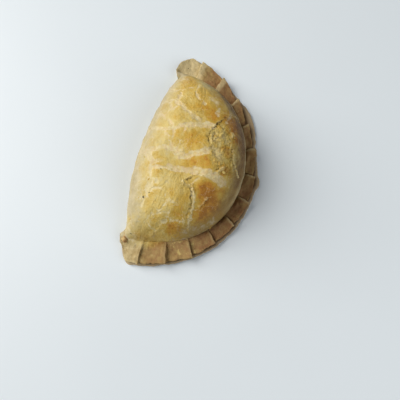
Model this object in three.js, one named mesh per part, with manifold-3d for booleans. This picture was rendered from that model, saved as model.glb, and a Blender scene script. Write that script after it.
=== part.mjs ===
// A baked half-moon meat pie: one sheet of shortcrust folded over its filling, with a rounded fold along
// the straight side and a flat rim along the curved side, pressed into thirteen stepped crimps.
//
// Millimetres, +Z up. The pie rests on its flat underside at z = 0 with its length along X. The fold faces
// -Y and the crimped rim faces +Y. The pie is shaped about the middle of the line that joins the two ends
// of the fold, and at the end it is moved so that the origin is under the middle of its outline.
//
// The skin is one closed grid. Its columns run round the pie: along the rim, crimp by crimp, from the
// right end to the left, and back along the fold. Its rows run down each column from the crown of the
// dome to the dome's foot, then across the rim, down its edge and in under the pie.
import * as THREE from "three";
import { mergeVertices } from "three/addons/utils/BufferGeometryUtils.js";
import Module from "manifold-3d";

// ---- Driving dimensions: millimetres, and degrees round the middle of the fold line ----

const RIM = {
  radius: 71.7, // mean radius of the crimps' outer edge
  // The edge isn't a true circle. Each entry is the size of cos(n * angle), for n = 1, 2, 3, 4.
  unevenness: [2.1, 2.4, -2.4, 0.6],
  startAngle: -1.4, // where the rim begins, past the right end of the fold
  endAngle: 181.2, // where it ends, past the left end
  cornerAngle: 8, // over which each end of the rim is cut off slantwise
  cornerSharpness: 1.6, // 1 is a straight cut, 2 is an elliptic corner
  cornerStub: 0.2, // degrees of that cut left away, so that the rim ends in a short edge
};

// The lower layer of dough, which shows as a lip under the crimps.
const LIP = {
  overhang: 0.4, // how far it stands out past the rim's radius
  // Where it stands out further: [middle angle, half of the angle taken, how much further].
  tongues: [
    [46, 9, 0.7],
    [87, 7, 2.2],
    [123, 20, 3.6],
  ],
  height: 2.3,
  undercut: 0.8, // how far its lower edge curls in
  liftOff: 0.7, // its outer edge is this far above the plate
  contactInset: 4.5, // from the rim's radius in to where the underside touches the plate
};

const CRIMP = {
  count: 13,
  spacedFrom: -2.7, // the angle from which the crimps are spaced
  meanAngle: 14.15, // degrees of rim taken by one crimp
  angleSwing: 1.9, // the crimps grow wider and narrower by this much along the rim
  narrowest: 4, // the number of the narrowest crimp
  stepAngle: 0.5, // degrees taken by the steep step between two crimps
  footHeight: 3.4, // where the crimps meet the dome
  lowHeight: 3.9, // top of a crimp at its low side
  rise: 2.1, // each crimp climbs by this much before it drops to the next
  inset: 1.4, // a crimp's low side lies this far in from the rim's radius, and its high side on it
  slant: 1.7, // degrees by which the lines between crimps lean towards the middle, at the ends
};

const DOME = {
  height: 35,
  footRadius: 61, // mean radius at which the dome meets the rim
  footUnevenness: [0.6, -0.8, -1.5, -0.6], // sizes of cos(n * angle), as for the rim
  ridgeHalfLength: 18, // the columns start from a short line along the crown
  ridgeY: 25, // how far that line is from the fold line
  endDrop: 0.0036, // the crown falls by this times the square of x
  ridgeSharpness: 3, // how tightly the fold side turns into the rim side: 2 is the roundest
  fullDepth: 24.4, // the depth behind both outlines at which the dome reaches its full height
  roundness: 2.15, // exponent of the section: larger is flatter on top
  flankSteepness: 1.9, // 2 meets the rim at a right angle, 1 at a slant
  endSteepness: 0.95, // the same at the two ends, where the dome runs out
  lumpHeight: 0.7,
};

const FOLD = {
  halfLength: 57,
  bulge: 5.5, // how far the fold stands out past the fold line where it stands out most
  bulgeX: 13, // where that is
  bulgeShape: 1.8, // 2 is a parabola, less makes the fold straighter towards its ends
  leftInset: 2.4, // its left end lies this far inside the fold line
  rightInset: 0.4, // and its right end this far
  height: 12, // of the fold's outermost line, at its middle
  endHeight: 4.6,
  undercut: 6.0, // from that line in to where the pie touches the plate
};

// A curl of dough left at the right end of the fold.
const KNOB = { x: 59.6, y: 0.2, z: 3.5, size: [2.1, 2.7, 2.4], lean: 25 };

// ---- How finely the skin is divided ----

const COLUMNS_PER_CRIMP = 7;
const FOLD_COLUMNS = 40;
const DOME_ROWS = 15;
const UNDER_ROWS = 10; // rows below the dome, in each column
const BASE_RINGS = [0.7, 0.35]; // rings of the flat base, as shares of the way out from its middle

const CRUST_COLOUR = 0xc9a45f;

// ---- Small helpers ----

const DEGREE = Math.PI / 180;

const mix = (a, b, share) => a + (b - a) * share;

const clamp = (value, low, high) => Math.min(high, Math.max(low, value));

const smoothstep = (from, to, value) => {
  const share = clamp((value - from) / (to - from), 0, 1);
  return share * share * (3 - 2 * share);
};

// A fixed number between -1 and 1 for each whole number, so that no two crimps are quite alike.
const uneven = (number) => {
  const wave = Math.sin(number * 12.9898 + 4.137) * 43758.5453;
  return 2 * (wave - Math.floor(wave)) - 1;
};

const polar = (radius, angle) =>
  new THREE.Vector2(Math.cos(angle * DEGREE), Math.sin(angle * DEGREE)).multiplyScalar(radius);

// ---- Outlines in plan ----

const wavyRadius = (mean, unevenness, angle) =>
  unevenness.reduce((sum, size, index) => sum + size * Math.cos((index + 1) * angle * DEGREE), mean);

const rimRadius = (angle) => wavyRadius(RIM.radius, RIM.unevenness, angle);

const footRadius = (angle) => wavyRadius(DOME.footRadius, DOME.footUnevenness, angle);

function foldY(x) {
  const end = x < FOLD.bulgeX ? -FOLD.halfLength : FOLD.halfLength;
  const inset = x < FOLD.bulgeX ? FOLD.leftInset : FOLD.rightInset;
  const share = (x - FOLD.bulgeX) / (end - FOLD.bulgeX);
  return mix(-FOLD.bulge, inset, share ** FOLD.bulgeShape);
}

const foldHeight = (x) =>
  mix(FOLD.height, FOLD.endHeight, clamp(Math.abs(x) / FOLD.halfLength, 0, 1) ** 3);

// 1 along the rim, and less towards each end, where the rim is cut off slantwise.
function cornerReach(angle) {
  const inFromEnd = RIM.cornerStub + Math.min(angle - RIM.startAngle, RIM.endAngle - angle);
  const left = clamp(1 - inFromEnd / RIM.cornerAngle, 0, 1);
  return (1 - left ** RIM.cornerSharpness) ** (1 / RIM.cornerSharpness);
}

const lipOverhang = (angle) =>
  LIP.tongues.reduce((sum, [middle, half, size]) => {
    const off = Math.min(Math.abs(angle - middle) / half, 1);
    return sum + size * (0.5 + 0.5 * Math.cos(off * Math.PI));
  }, LIP.overhang);

// ---- The dome ----

const lumps = (x, y) =>
  Math.sin(x / 9.5 + 0.6) * Math.cos(y / 8.0 + 0.4) + 0.6 * Math.sin(x / 5.3 - y / 6.1);

// Height of the dome over a point in plan. It rises with the point's depth behind the two outlines, which
// is their smooth minimum, so that the surface has no edge where the fold side turns into the rim side.
function domeHeight(plan) {
  const fromFold = Math.max(plan.y - foldY(plan.x), 0);
  const fromRim = Math.max(footRadius(plan.angle() / DEGREE) - plan.length(), 0);
  const both = fromFold + fromRim;
  const power = DOME.ridgeSharpness;
  const depth = both - (fromFold ** power + fromRim ** power) ** (1 / power);
  const towardsEnd = clamp(Math.abs(plan.x) / FOLD.halfLength, 0, 1) ** 4;
  const steepness = mix(DOME.flankSteepness, DOME.endSteepness, towardsEnd);
  const share = clamp(depth / DOME.fullDepth, 0, 1);
  const section = (1 - (1 - share) ** DOME.roundness) ** (1 / steepness);
  const edge = mix(CRIMP.footHeight, foldHeight(plan.x), both > 0 ? fromRim / both : 0);
  const crown = DOME.height - DOME.endDrop * plan.x ** 2;
  return mix(edge, crown, section) + DOME.lumpHeight * lumps(plan.x, plan.y) * section ** 2;
}

// The rows of one column, from near the ridge to the foot. They are closer where the dome curves most.
function domeRows(foot) {
  const ridge = new THREE.Vector2(
    clamp(foot.x, -DOME.ridgeHalfLength, DOME.ridgeHalfLength),
    DOME.ridgeY,
  );
  const rows = [];
  for (let row = 1; row <= DOME_ROWS; row += 1) {
    const plan = ridge.clone().lerp(foot, Math.sin((row / DOME_ROWS) * 90 * DEGREE));
    rows.push(new THREE.Vector3(plan.x, plan.y, domeHeight(plan)));
  }
  return rows;
}

// ---- Columns along the rim ----

// The angles between the crimps, with the two ends of the rim.
function crimpEdges() {
  const edges = [RIM.startAngle];
  let edge = CRIMP.spacedFrom;
  for (let number = 1; number < CRIMP.count; number += 1) {
    const swing = Math.cos((2 * Math.PI * (number - CRIMP.narrowest)) / (CRIMP.count - 1));
    edge += CRIMP.meanAngle - CRIMP.angleSwing * swing;
    edges.push(edge);
  }
  return [...edges, RIM.endAngle];
}

// The top of a crimp: along runs from 0 at its low side to 1 at its high side, and across from 0 at the
// dome's foot to 1 at the outer edge.
function crimpHeight(number, along, across) {
  const climb = CRIMP.rise * (1 + 0.25 * uneven(number)) * along ** 1.2;
  const top = CRIMP.lowHeight + 0.3 * uneven(number + 50) + climb;
  return mix(CRIMP.footHeight, top, smoothstep(0, 0.3, across));
}

// A column through a crimp: down the dome, out across the crimp, down over the lip and in underneath.
function rimColumn(number, along, angle, slant) {
  const reach = cornerReach(angle);
  const foot = polar(footRadius(angle), angle);
  const edge = polar(mix(footRadius(angle), rimRadius(angle), reach), angle + slant * reach);
  const width = edge.distanceTo(foot);
  const outward = edge.clone().sub(foot).divideScalar(width);
  const at = (out, height) => {
    const plan = foot.clone().addScaledVector(outward, out);
    return new THREE.Vector3(plan.x, plan.y, height);
  };
  const crimpWidth = width - CRIMP.inset * (1 - along) * reach;
  const lipWidth = width + lipOverhang(angle) * reach;
  return [
    ...domeRows(foot),
    at(crimpWidth * 0.14, crimpHeight(number, along, 0.14)),
    at(crimpWidth * 0.34, crimpHeight(number, along, 0.34)),
    at(crimpWidth * 0.7, crimpHeight(number, along, 0.7)),
    at(crimpWidth - 0.5 * reach, crimpHeight(number, along, 1) - 0.1),
    at(crimpWidth, crimpHeight(number, along, 1) - 0.7),
    at(crimpWidth - 0.9 * reach, LIP.height + 0.1),
    at(lipWidth - 0.5 * reach, LIP.height - 0.1),
    at(lipWidth, mix(LIP.liftOff, LIP.height, 0.5)),
    at(lipWidth - LIP.undercut * reach, LIP.liftOff),
    at(Math.max(width - LIP.contactInset, width * 0.5), 0),
  ];
}

function rimColumns() {
  const edges = crimpEdges();
  const slants = edges.map((_, number) => {
    const towardsMiddle = number % CRIMP.count === 0 ? 0 : -Math.cos((number / CRIMP.count) * 180 * DEGREE);
    return CRIMP.slant * towardsMiddle;
  });
  const columns = [];
  for (let number = 0; number < CRIMP.count; number += 1) {
    const first = edges[number] + (number > 0 ? CRIMP.stepAngle / 2 : 0);
    const last = edges[number + 1] - (number < CRIMP.count - 1 ? CRIMP.stepAngle / 2 : 0);
    for (let step = 0; step < COLUMNS_PER_CRIMP; step += 1) {
      const along = step / (COLUMNS_PER_CRIMP - 1);
      const slant = mix(slants[number], slants[number + 1], along);
      columns.push(rimColumn(number, along, mix(first, last, along), slant));
    }
  }
  return columns;
}

// ---- Columns along the fold ----

// A column over the fold: down the dome to its outermost line, and round in under the pie.
function foldColumn(x) {
  const foot = new THREE.Vector2(x, foldY(x));
  const rows = domeRows(foot);
  const undercut = FOLD.undercut * smoothstep(1, 0.75, Math.abs(x) / FOLD.halfLength);
  for (let row = 1; row <= UNDER_ROWS; row += 1) {
    const turn = (row / UNDER_ROWS) * 90 * DEGREE;
    const inward = undercut * (1 - Math.cos(turn));
    rows.push(new THREE.Vector3(foot.x, foot.y + inward, foldHeight(x) * (1 - Math.sin(turn))));
  }
  return rows;
}

function foldColumns() {
  const columns = [];
  for (let step = 1; step < FOLD_COLUMNS; step += 1) {
    columns.push(foldColumn(-FOLD.halfLength * Math.cos((step / FOLD_COLUMNS) * 180 * DEGREE)));
  }
  return columns;
}

// ---- The closed skin ----

function skinGeometry() {
  const columns = [...rimColumns(), ...foldColumns()];
  const middle = new THREE.Vector3(0, DOME.ridgeY, 0);
  for (const column of columns) {
    const contact = column[column.length - 1];
    column.push(...BASE_RINGS.map((share) => middle.clone().lerp(contact, share)));
  }
  const crownHeight = domeHeight(new THREE.Vector2(0, DOME.ridgeY));
  const points = columns.flat();
  const crown = points.push(middle.clone().setZ(crownHeight)) - 1;
  const under = points.push(middle) - 1;
  const rows = columns[0].length;
  const index = [];
  columns.forEach((_, column) => {
    const here = column * rows;
    const next = ((column + 1) % columns.length) * rows;
    index.push(crown, here, next);
    for (let row = 0; row < rows - 1; row += 1) {
      index.push(here + row, here + row + 1, next + row);
      index.push(next + row, here + row + 1, next + row + 1);
    }
    index.push(under, next + rows - 1, here + rows - 1);
  });
  return new THREE.BufferGeometry().setFromPoints(points).setIndex(index);
}

function knobGeometry() {
  return new THREE.SphereGeometry(1, 14, 10)
    .scale(...KNOB.size)
    .rotateZ(KNOB.lean * DEGREE)
    .translate(KNOB.x, KNOB.y, KNOB.z);
}

// ---- Joining ----

const wasm = await Module();
wasm.setup();

function toSolid(geometry) {
  const bare = geometry.clone();
  bare.deleteAttribute("normal");
  bare.deleteAttribute("uv");
  const merged = mergeVertices(bare, 1e-4);
  return new wasm.Manifold(
    new wasm.Mesh({
      numProp: 3,
      vertProperties: merged.attributes.position.array,
      triVerts: new Uint32Array(merged.index.array),
    }),
  );
}

function toGeometry(solid) {
  const { vertProperties, triVerts } = solid.getMesh();
  const geometry = new THREE.BufferGeometry();
  geometry.setAttribute("position", new THREE.BufferAttribute(vertProperties, 3));
  geometry.setIndex(new THREE.BufferAttribute(triVerts, 1));
  return geometry;
}

// Moves the geometry so that the middle of its base lies at the origin.
function centreOnBase(geometry) {
  geometry.computeBoundingBox();
  const { min, max } = geometry.boundingBox;
  return geometry.translate(-(min.x + max.x) / 2, -(min.y + max.y) / 2, -min.z);
}

const geometry = centreOnBase(toGeometry(toSolid(skinGeometry()).add(toSolid(knobGeometry()))));
geometry.computeVertexNormals();

const pie = new THREE.Mesh(
  geometry,
  new THREE.MeshStandardMaterial({ color: CRUST_COLOUR, roughness: 0.55, metalness: 0 }),
);
pie.name = "meat_pie";

const part = new THREE.Group();
part.add(pie);

export default part;
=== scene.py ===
"""A baked half-moon meat pie: golden, crackled shortcrust folded over its filling and crimped round its rim.

The crust is laid out in millimetres about the middle of the line that joins the two ends of its fold. X runs
along the pie, the fold faces -Y and the crimped rim faces +Y. A Geometry Nodes tree then raises the dome,
presses the crimps and breaks the glaze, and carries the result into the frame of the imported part, in metres.
"""

from __future__ import annotations

import logging
import math
from dataclasses import dataclass
from enum import Enum
from functools import cached_property, partialmethod
from typing import NamedTuple, Union

import bmesh
import bpy
import numpy as np
from bpy.types import ID, Material, Mesh, Node, NodeSocket, NodeTree, Object
from mathutils import Matrix, Vector
from mathutils.bvhtree import BVHTree


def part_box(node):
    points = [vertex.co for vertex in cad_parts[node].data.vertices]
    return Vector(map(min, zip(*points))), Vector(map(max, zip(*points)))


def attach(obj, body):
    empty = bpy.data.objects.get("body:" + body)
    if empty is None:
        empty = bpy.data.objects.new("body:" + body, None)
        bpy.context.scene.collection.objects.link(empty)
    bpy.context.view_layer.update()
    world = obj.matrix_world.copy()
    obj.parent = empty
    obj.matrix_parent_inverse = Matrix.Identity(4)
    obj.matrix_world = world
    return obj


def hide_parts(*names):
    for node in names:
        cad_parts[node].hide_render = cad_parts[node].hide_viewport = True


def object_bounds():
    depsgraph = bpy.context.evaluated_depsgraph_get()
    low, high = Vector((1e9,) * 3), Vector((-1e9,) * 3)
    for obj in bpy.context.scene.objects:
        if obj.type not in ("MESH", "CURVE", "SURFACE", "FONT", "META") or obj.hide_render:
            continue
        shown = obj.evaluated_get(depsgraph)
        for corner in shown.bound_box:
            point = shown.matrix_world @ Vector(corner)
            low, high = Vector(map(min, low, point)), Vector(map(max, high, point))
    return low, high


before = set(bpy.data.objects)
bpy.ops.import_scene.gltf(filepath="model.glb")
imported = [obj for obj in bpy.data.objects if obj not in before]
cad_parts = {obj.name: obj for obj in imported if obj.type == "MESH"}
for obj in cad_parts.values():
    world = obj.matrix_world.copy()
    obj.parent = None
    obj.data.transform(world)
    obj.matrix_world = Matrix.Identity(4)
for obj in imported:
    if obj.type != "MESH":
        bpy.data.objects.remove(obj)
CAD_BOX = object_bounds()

log = logging.getLogger("meat_pie")

MM = 0.001
NODE = "meat_pie"
BODY = "root"
FULL_TURN = 2.0 * math.pi
TINY = 1e-6  # keeps a quotient finite where both of its parts vanish

Array = np.ndarray
Amount = Union[float, Array, "Term"]
Point = tuple[float, float]
Colour = tuple[float, float, float]
Facts = dict[str, Array]  # a value at each point of the sheet, by name
Layout = tuple[Array, Facts, list[tuple[int, ...]]]
Step = tuple[float, float]  # where a look is absent and where it is full
Stretch = tuple[float, float, float, float]  # where a look starts, is full, starts to fade and is gone


# ---- Small numeric helpers ----


def mix(low: Amount, high: Amount, share: Amount) -> Amount:
    """Returns the value that lies share of the way from low to high, for numbers, arrays and terms alike."""
    return low + (high - low) * share


def ramp(start: float, end: float, value: Amount) -> Amount:
    """Returns the height at a value of a smooth step from 0 at start to 1 at end."""
    share = np.clip((value - start) / (end - start), 0.0, 1.0)
    return share * share * (3.0 - 2.0 * share)


def uneven(number: int) -> float:
    """Returns a fixed number between -1 and 1 for each whole number, so that no two crimps are alike."""
    wave = math.sin(number * 12.9898 + 4.137) * 43758.5453
    return 2.0 * (wave - math.floor(wave)) - 1.0


def linear(*channels: int) -> Colour:
    """Returns the linear colour that the shaders take for red, green and blue as displayed, 0 to 255."""
    shares = (channel / 255.0 for channel in channels)
    return tuple(share / 12.92 if share <= 0.04045 else ((share + 0.055) / 1.055) ** 2.4 for share in shares)


def linked(name: str, data: ID) -> Object:
    """Returns a new object with that name and data, linked into the scene."""
    made = bpy.data.objects.new(name, data)
    bpy.context.scene.collection.objects.link(made)
    return made


@dataclass(frozen=True)
class Ripple:
    """Smooth random unevenness over the plan, the same on every run."""

    size: float  # millimetres from one swell to the next
    seed: int
    octaves: int = 2
    lattice_size: int = 64
    octave_shift: float = 17.3  # keeps the octaves' lattices apart
    gain: float = 1.3

    def at(self, plan: Array) -> Array:
        """The unevenness at points of the plan.

        Args:
            plan: x and y of each point, in millimetres.

        Returns:
            A value of about -1 to 1 for each point.
        """
        count = self.lattice_size
        lattice = np.random.default_rng(self.seed).uniform(-1.0, 1.0, (count, count))
        total = np.zeros(len(plan))
        for octave in range(self.octaves):
            place = plan / self.size * 2.0**octave + self.octave_shift * (octave + 1)
            corner = np.floor(place).astype(int)
            share = place - corner
            share = share * share * (3.0 - 2.0 * share)
            x0, y0 = corner[:, 0] % count, corner[:, 1] % count
            x1, y1 = (x0 + 1) % count, (y0 + 1) % count
            near = mix(lattice[x0, y0], lattice[x1, y0], share[:, 0])
            far = mix(lattice[x0, y1], lattice[x1, y1], share[:, 0])
            total += mix(near, far, share[:, 1]) * 0.5**octave
        return total * self.gain


# ---- Node trees written as formulas ----


@dataclass(frozen=True)
class Term:
    """A number carried by a socket, which joins other numbers by ordinary arithmetic."""

    graph: Graph
    socket: NodeSocket

    def _joined(self, operation: str, swapped: bool, other: Term | float) -> Term:
        """Returns the result of an operation on this number and another, or the other way round."""
        return self.graph.math(operation, *((other, self) if swapped else (self, other)))

    __add__ = partialmethod(_joined, "ADD", False)
    __radd__ = partialmethod(_joined, "ADD", True)
    __sub__ = partialmethod(_joined, "SUBTRACT", False)
    __rsub__ = partialmethod(_joined, "SUBTRACT", True)
    __mul__ = partialmethod(_joined, "MULTIPLY", False)
    __rmul__ = partialmethod(_joined, "MULTIPLY", True)
    __truediv__ = partialmethod(_joined, "DIVIDE", False)
    __rtruediv__ = partialmethod(_joined, "DIVIDE", True)
    __pow__ = partialmethod(_joined, "POWER", False)


class Graph:
    """Adds nodes to a tree and joins them, for Geometry Nodes and for materials alike."""

    def __init__(self, tree: NodeTree) -> None:
        """Takes the empty tree to fill."""
        self.tree = tree
        self.shading = tree.bl_idname == "ShaderNodeTree"

    def node(self, kind: str, settings: dict[str, object] | None = None, **inputs: object) -> Node:
        """Adds a node.

        Args:
            kind: the node's type name.
            settings: its properties, set before its sockets are used.
            **inputs: what each socket takes, by the socket's name with _ for a space.

        Returns:
            The node.
        """
        made = self.tree.nodes.new(kind)
        for name, value in (settings or {}).items():
            setattr(made, name, value)
        for name, value in inputs.items():
            wanted = name.replace("_", " ")
            socket = next(s for s in made.inputs if s.enabled and s.name == wanted)
            self.feed(socket, value)
        return made

    def feed(self, socket: NodeSocket, value: object) -> None:
        """Gives an input socket its value, or its link where that value is a term.

        Args:
            socket: the input socket.
            value: a term or a plain value.
        """
        if isinstance(value, Term):
            self.tree.links.new(value.socket, socket)
        else:
            socket.default_value = value

    def out(self, node: Node, name: str | None = None) -> Term:
        """Returns the node's enabled output of that name, or its first, as a term."""
        found = next(s for s in node.outputs if s.enabled and (name is None or s.name == name))
        return Term(self, found)

    def math(self, operation: str, *values: Term | float, clamp: bool = False) -> Term:
        """One step of arithmetic.

        Args:
            operation: the Math node's operation.
            *values: what it works on.
            clamp: whether the result is held between 0 and 1.

        Returns:
            The result.
        """
        made = self.node("ShaderNodeMath", {"operation": operation, "use_clamp": clamp})
        for socket, value in zip(made.inputs, values):
            self.feed(socket, value)
        return self.out(made)

    def most(self, first: Term | float, second: Term | float) -> Term:
        """Returns the larger."""
        return self.math("MAXIMUM", first, second)

    def held(self, value: Term) -> Term:
        """Returns the value held between 0 and 1."""
        return self.math("ADD", value, 0.0, clamp=True)

    def step(self, value: Term, start: Term | float, end: Term | float) -> Term:
        """Returns a smooth step, from 0 at start to 1 at end, which may lie below the start."""
        bounds = {"Value": value, "From_Min": start, "From_Max": end}
        return self.out(self.node("ShaderNodeMapRange", {"interpolation_type": "SMOOTHSTEP"}, **bounds))

    def over(self, value: Term, stretch: Stretch) -> Term:
        """Returns 1 over a stretch and 0 outside it, with a smooth step at each of its ends."""
        starts, full, fades, gone = stretch
        return self.step(value, starts, full) * self.step(value, gone, fades)

    def noise(self, where: Term, scale: Term | float, detail: float = 2.0, roughness: float = 0.5) -> Term:
        """Returns smooth noise of about 0 to 1 at a place."""
        settings = {"Scale": scale, "Detail": detail, "Roughness": roughness}
        return self.out(self.node("ShaderNodeTexNoise", Vector=where, **settings))

    def colour_noise(self, where: Term, scale: float) -> Term:
        """Returns noise that differs along each axis, to bend a pattern with."""
        return self.out(self.node("ShaderNodeTexNoise", Vector=where, Scale=scale, Detail=2.0), "Color")

    def cells(self, where: Term, scale: Term | float) -> Term:
        """Returns how far a place is from the edge of its cell."""
        edges = {"feature": "DISTANCE_TO_EDGE"}
        return self.out(self.node("ShaderNodeTexVoronoi", edges, Vector=where, Scale=scale))

    def plates(self, where: Term, scale: float) -> Term:
        """Returns a number from 0 to 1 that is the same all over each cell, at a place and a scale."""
        made = self.node("ShaderNodeTexVoronoi", {"feature": "F1"}, Vector=where, Scale=scale)
        return self.out(self.node("ShaderNodeSeparateXYZ", Vector=self.out(made, "Color")), "X")

    def vector(self, operation: str, *values: object, **scale: object) -> Term:
        """One step of vector arithmetic.

        Args:
            operation: the Vector Math node's operation.
            *values: the vectors.
            **scale: Scale, for the operation of that name.

        Returns:
            The result.
        """
        made = self.node("ShaderNodeVectorMath", {"operation": operation}, **scale)
        for socket, value in zip(made.inputs, values):
            self.feed(socket, value)
        return self.out(made)

    def attribute(self, name: str, kind: str = "FLOAT") -> Term:
        """Returns a number stored on the mesh or, in a geometry tree, a vector."""
        if self.shading:
            return self.out(self.node("ShaderNodeAttribute", {"attribute_name": name}), "Fac")
        made = self.node("GeometryNodeInputNamedAttribute", {"data_type": kind}, Name=name)
        return self.out(made, "Attribute")


class GeometryTree(Graph):
    """A Geometry Nodes tree with named inputs, whose result takes one material."""

    def __init__(self, name: str) -> None:
        """Starts the tree with its geometry in and out.

        Args:
            name: the tree's name.
        """
        super().__init__(bpy.data.node_groups.new(name, "GeometryNodeTree"))
        self.values: dict[str, object] = {}
        self.tree.interface.new_socket("Geometry", in_out="INPUT", socket_type="NodeSocketGeometry")
        self.tree.interface.new_socket("Geometry", in_out="OUTPUT", socket_type="NodeSocketGeometry")
        self.entry = self.tree.nodes.new("NodeGroupInput")
        self.geometry = Term(self, self.entry.outputs["Geometry"])

    def size(self, name: str, value: object, kind: str = "NodeSocketFloat") -> Term:
        """Adds a named value to the tree's inputs and returns it."""
        self.tree.interface.new_socket(name, in_out="INPUT", socket_type=kind)
        self.values[name] = value
        return Term(self, self.entry.outputs[name])

    def place(self, **inputs: object) -> None:
        """Sets the positions of the geometry so far, by Position or by Offset."""
        self.geometry = self.out(self.node("GeometryNodeSetPosition", Geometry=self.geometry, **inputs))

    def store(self, name: str, value: Term) -> None:
        """Stores a number on each point of the geometry so far, under that name."""
        made = self.node("GeometryNodeStoreNamedAttribute", Geometry=self.geometry, Name=name, Value=value)
        self.geometry = self.out(made)

    def finish(self, material: Material) -> None:
        """Ends the tree.

        Args:
            material: the finish of everything that the tree makes.
        """
        given = self.size("Material", material, "NodeSocketMaterial")
        whole = self.node("GeometryNodeRealizeInstances", Geometry=self.geometry)
        dressed = self.node("GeometryNodeSetMaterial", Geometry=self.out(whole), Material=given)
        leave = self.tree.nodes.new("NodeGroupOutput")
        self.tree.links.new(self.out(dressed).socket, leave.inputs[0])

    def grow(self, name: str, mesh: Mesh) -> Object:
        """Runs the tree on a mesh and keeps the result as a plain mesh.

        Args:
            name: the name of the piece.
            mesh: the mesh that the tree starts from.

        Returns:
            The piece, with no modifier left on it.
        """
        start = linked(name + ".start", mesh)
        modifier = start.modifiers.new(self.tree.name, "NODES")
        modifier.node_group = self.tree
        for item in self.tree.interface.items_tree:
            if item.item_type == "SOCKET" and item.in_out == "INPUT" and item.name in self.values:
                modifier[item.identifier] = self.values[item.name]
        graph = bpy.context.evaluated_depsgraph_get()
        result = bpy.data.meshes.new_from_object(start.evaluated_get(graph), depsgraph=graph)
        result.name = name
        bpy.data.objects.remove(start)
        return linked(name, result)


# ---- The outline of the pie ----


@dataclass(frozen=True)
class PiePlan:
    """The half-moon in plan: millimetres, and radians round the middle of the fold line."""

    rim_radius: float = 71.7
    unevenness: tuple[float, ...] = (2.1, 2.4, -2.4, 0.6)  # sizes of cos(n * angle), for n from 1
    foot_radius: float = 61.0
    foot_unevenness: tuple[float, ...] = (0.6, -0.8, -1.5, -0.6)
    start: float = math.radians(-1.4)
    end: float = math.radians(181.2)
    corner: float = math.radians(8.0)  # over which each end of the rim is cut off slantwise
    corner_sharpness: float = 1.6
    corner_stub: float = math.radians(0.2)
    half_length: float = 57.0  # of the fold
    bulge: float = 5.5
    bulge_x: float = 13.0
    bulge_shape: float = 1.8
    left_inset: float = 2.4
    right_inset: float = 0.4
    fold_height: float = 12.0
    fold_end_height: float = 4.6
    fold_droop: int = 3  # the power with which the fold's line drops to its ends
    ridge_half: float = 18.0  # half of the short line along the crown from which the columns start
    ridge_y: float = 25.0

    def rim(self, angle: Array) -> Array:
        """Returns the radius of the crimps' outer edge at each angle."""
        return self._wavy(self.rim_radius, self.unevenness, angle)

    def foot(self, angle: Array) -> Array:
        """Returns the radius at which the dome meets the rim at each angle."""
        return self._wavy(self.foot_radius, self.foot_unevenness, angle)

    @staticmethod
    def _wavy(mean: float, unevenness: tuple[float, ...], angle: Array) -> Array:
        """Returns a mean radius with its cosines added, at each angle."""
        return mean + sum(size * np.cos((n + 1) * angle) for n, size in enumerate(unevenness))

    def fold_y(self, x: Array) -> Array:
        """The fold's outermost line in plan.

        Args:
            x: places along the pie, in millimetres.

        Returns:
            Where the line lies at each x.
        """
        left = x < self.bulge_x
        end = np.where(left, -self.half_length, self.half_length)
        inset = np.where(left, self.left_inset, self.right_inset)
        share = np.abs((x - self.bulge_x) / (end - self.bulge_x))
        return mix(-self.bulge, inset, share**self.bulge_shape)

    def fold_z(self, x: Array) -> Array:
        """Returns the height of the fold's outermost line at each x."""
        share = np.clip(np.abs(x) / self.half_length, 0, 1)
        return mix(self.fold_height, self.fold_end_height, share**self.fold_droop)

    def reach(self, angle: Array) -> Array:
        """Returns 1 along the rim, and less towards each end, where the rim is cut off slantwise."""
        inside = self.corner_stub + np.minimum(angle - self.start, self.end - angle)
        left = np.clip(1.0 - inside / self.corner, 0.0, 1.0)
        return (1.0 - left**self.corner_sharpness) ** (1.0 / self.corner_sharpness)


@dataclass(frozen=True)
class Lip:
    """The lower layer of dough, which shows as a lip under the crimps. Sizes in millimetres."""

    overhang: float = 0.4
    # Where it stands out further: middle angle, half angle, and how much.
    tongues: tuple[tuple[float, float, float], ...] = ((46, 9, 0.7), (87, 7, 2.2), (123, 20, 3.6))
    height: float = 2.3
    slope: float = 0.2  # by which its top falls from the crimp's edge out to its own
    top_end: float = 0.35  # short of its outermost line
    top_rows: tuple[float, ...] = (0.15, 0.35, 0.6, 0.85, 1.0)  # shares of the way out over its top
    # Its rounded edge, down from the top: how far out, and how high.
    edge: tuple[Point, ...] = ((-0.12, 1.95), (0.0, 1.6), (-0.12, 1.2), (-0.4, 0.88))
    undercut: float = 0.8
    lift_off: float = 0.7
    lift_power: float = 1.5
    contact_inset: float = 4.5

    def stands_out(self, angle: Array) -> Array:
        """How far the lip stands out past the rim.

        Args:
            angle: places round the rim, in radians.

        Returns:
            The distance at each, in millimetres.
        """
        total = np.full_like(angle, self.overhang)
        for middle, half, size in self.tongues:
            off = np.minimum(np.abs(np.degrees(angle) - middle) / half, 1.0)
            total += size * (0.5 + 0.5 * np.cos(off * math.pi))
        return total


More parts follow.
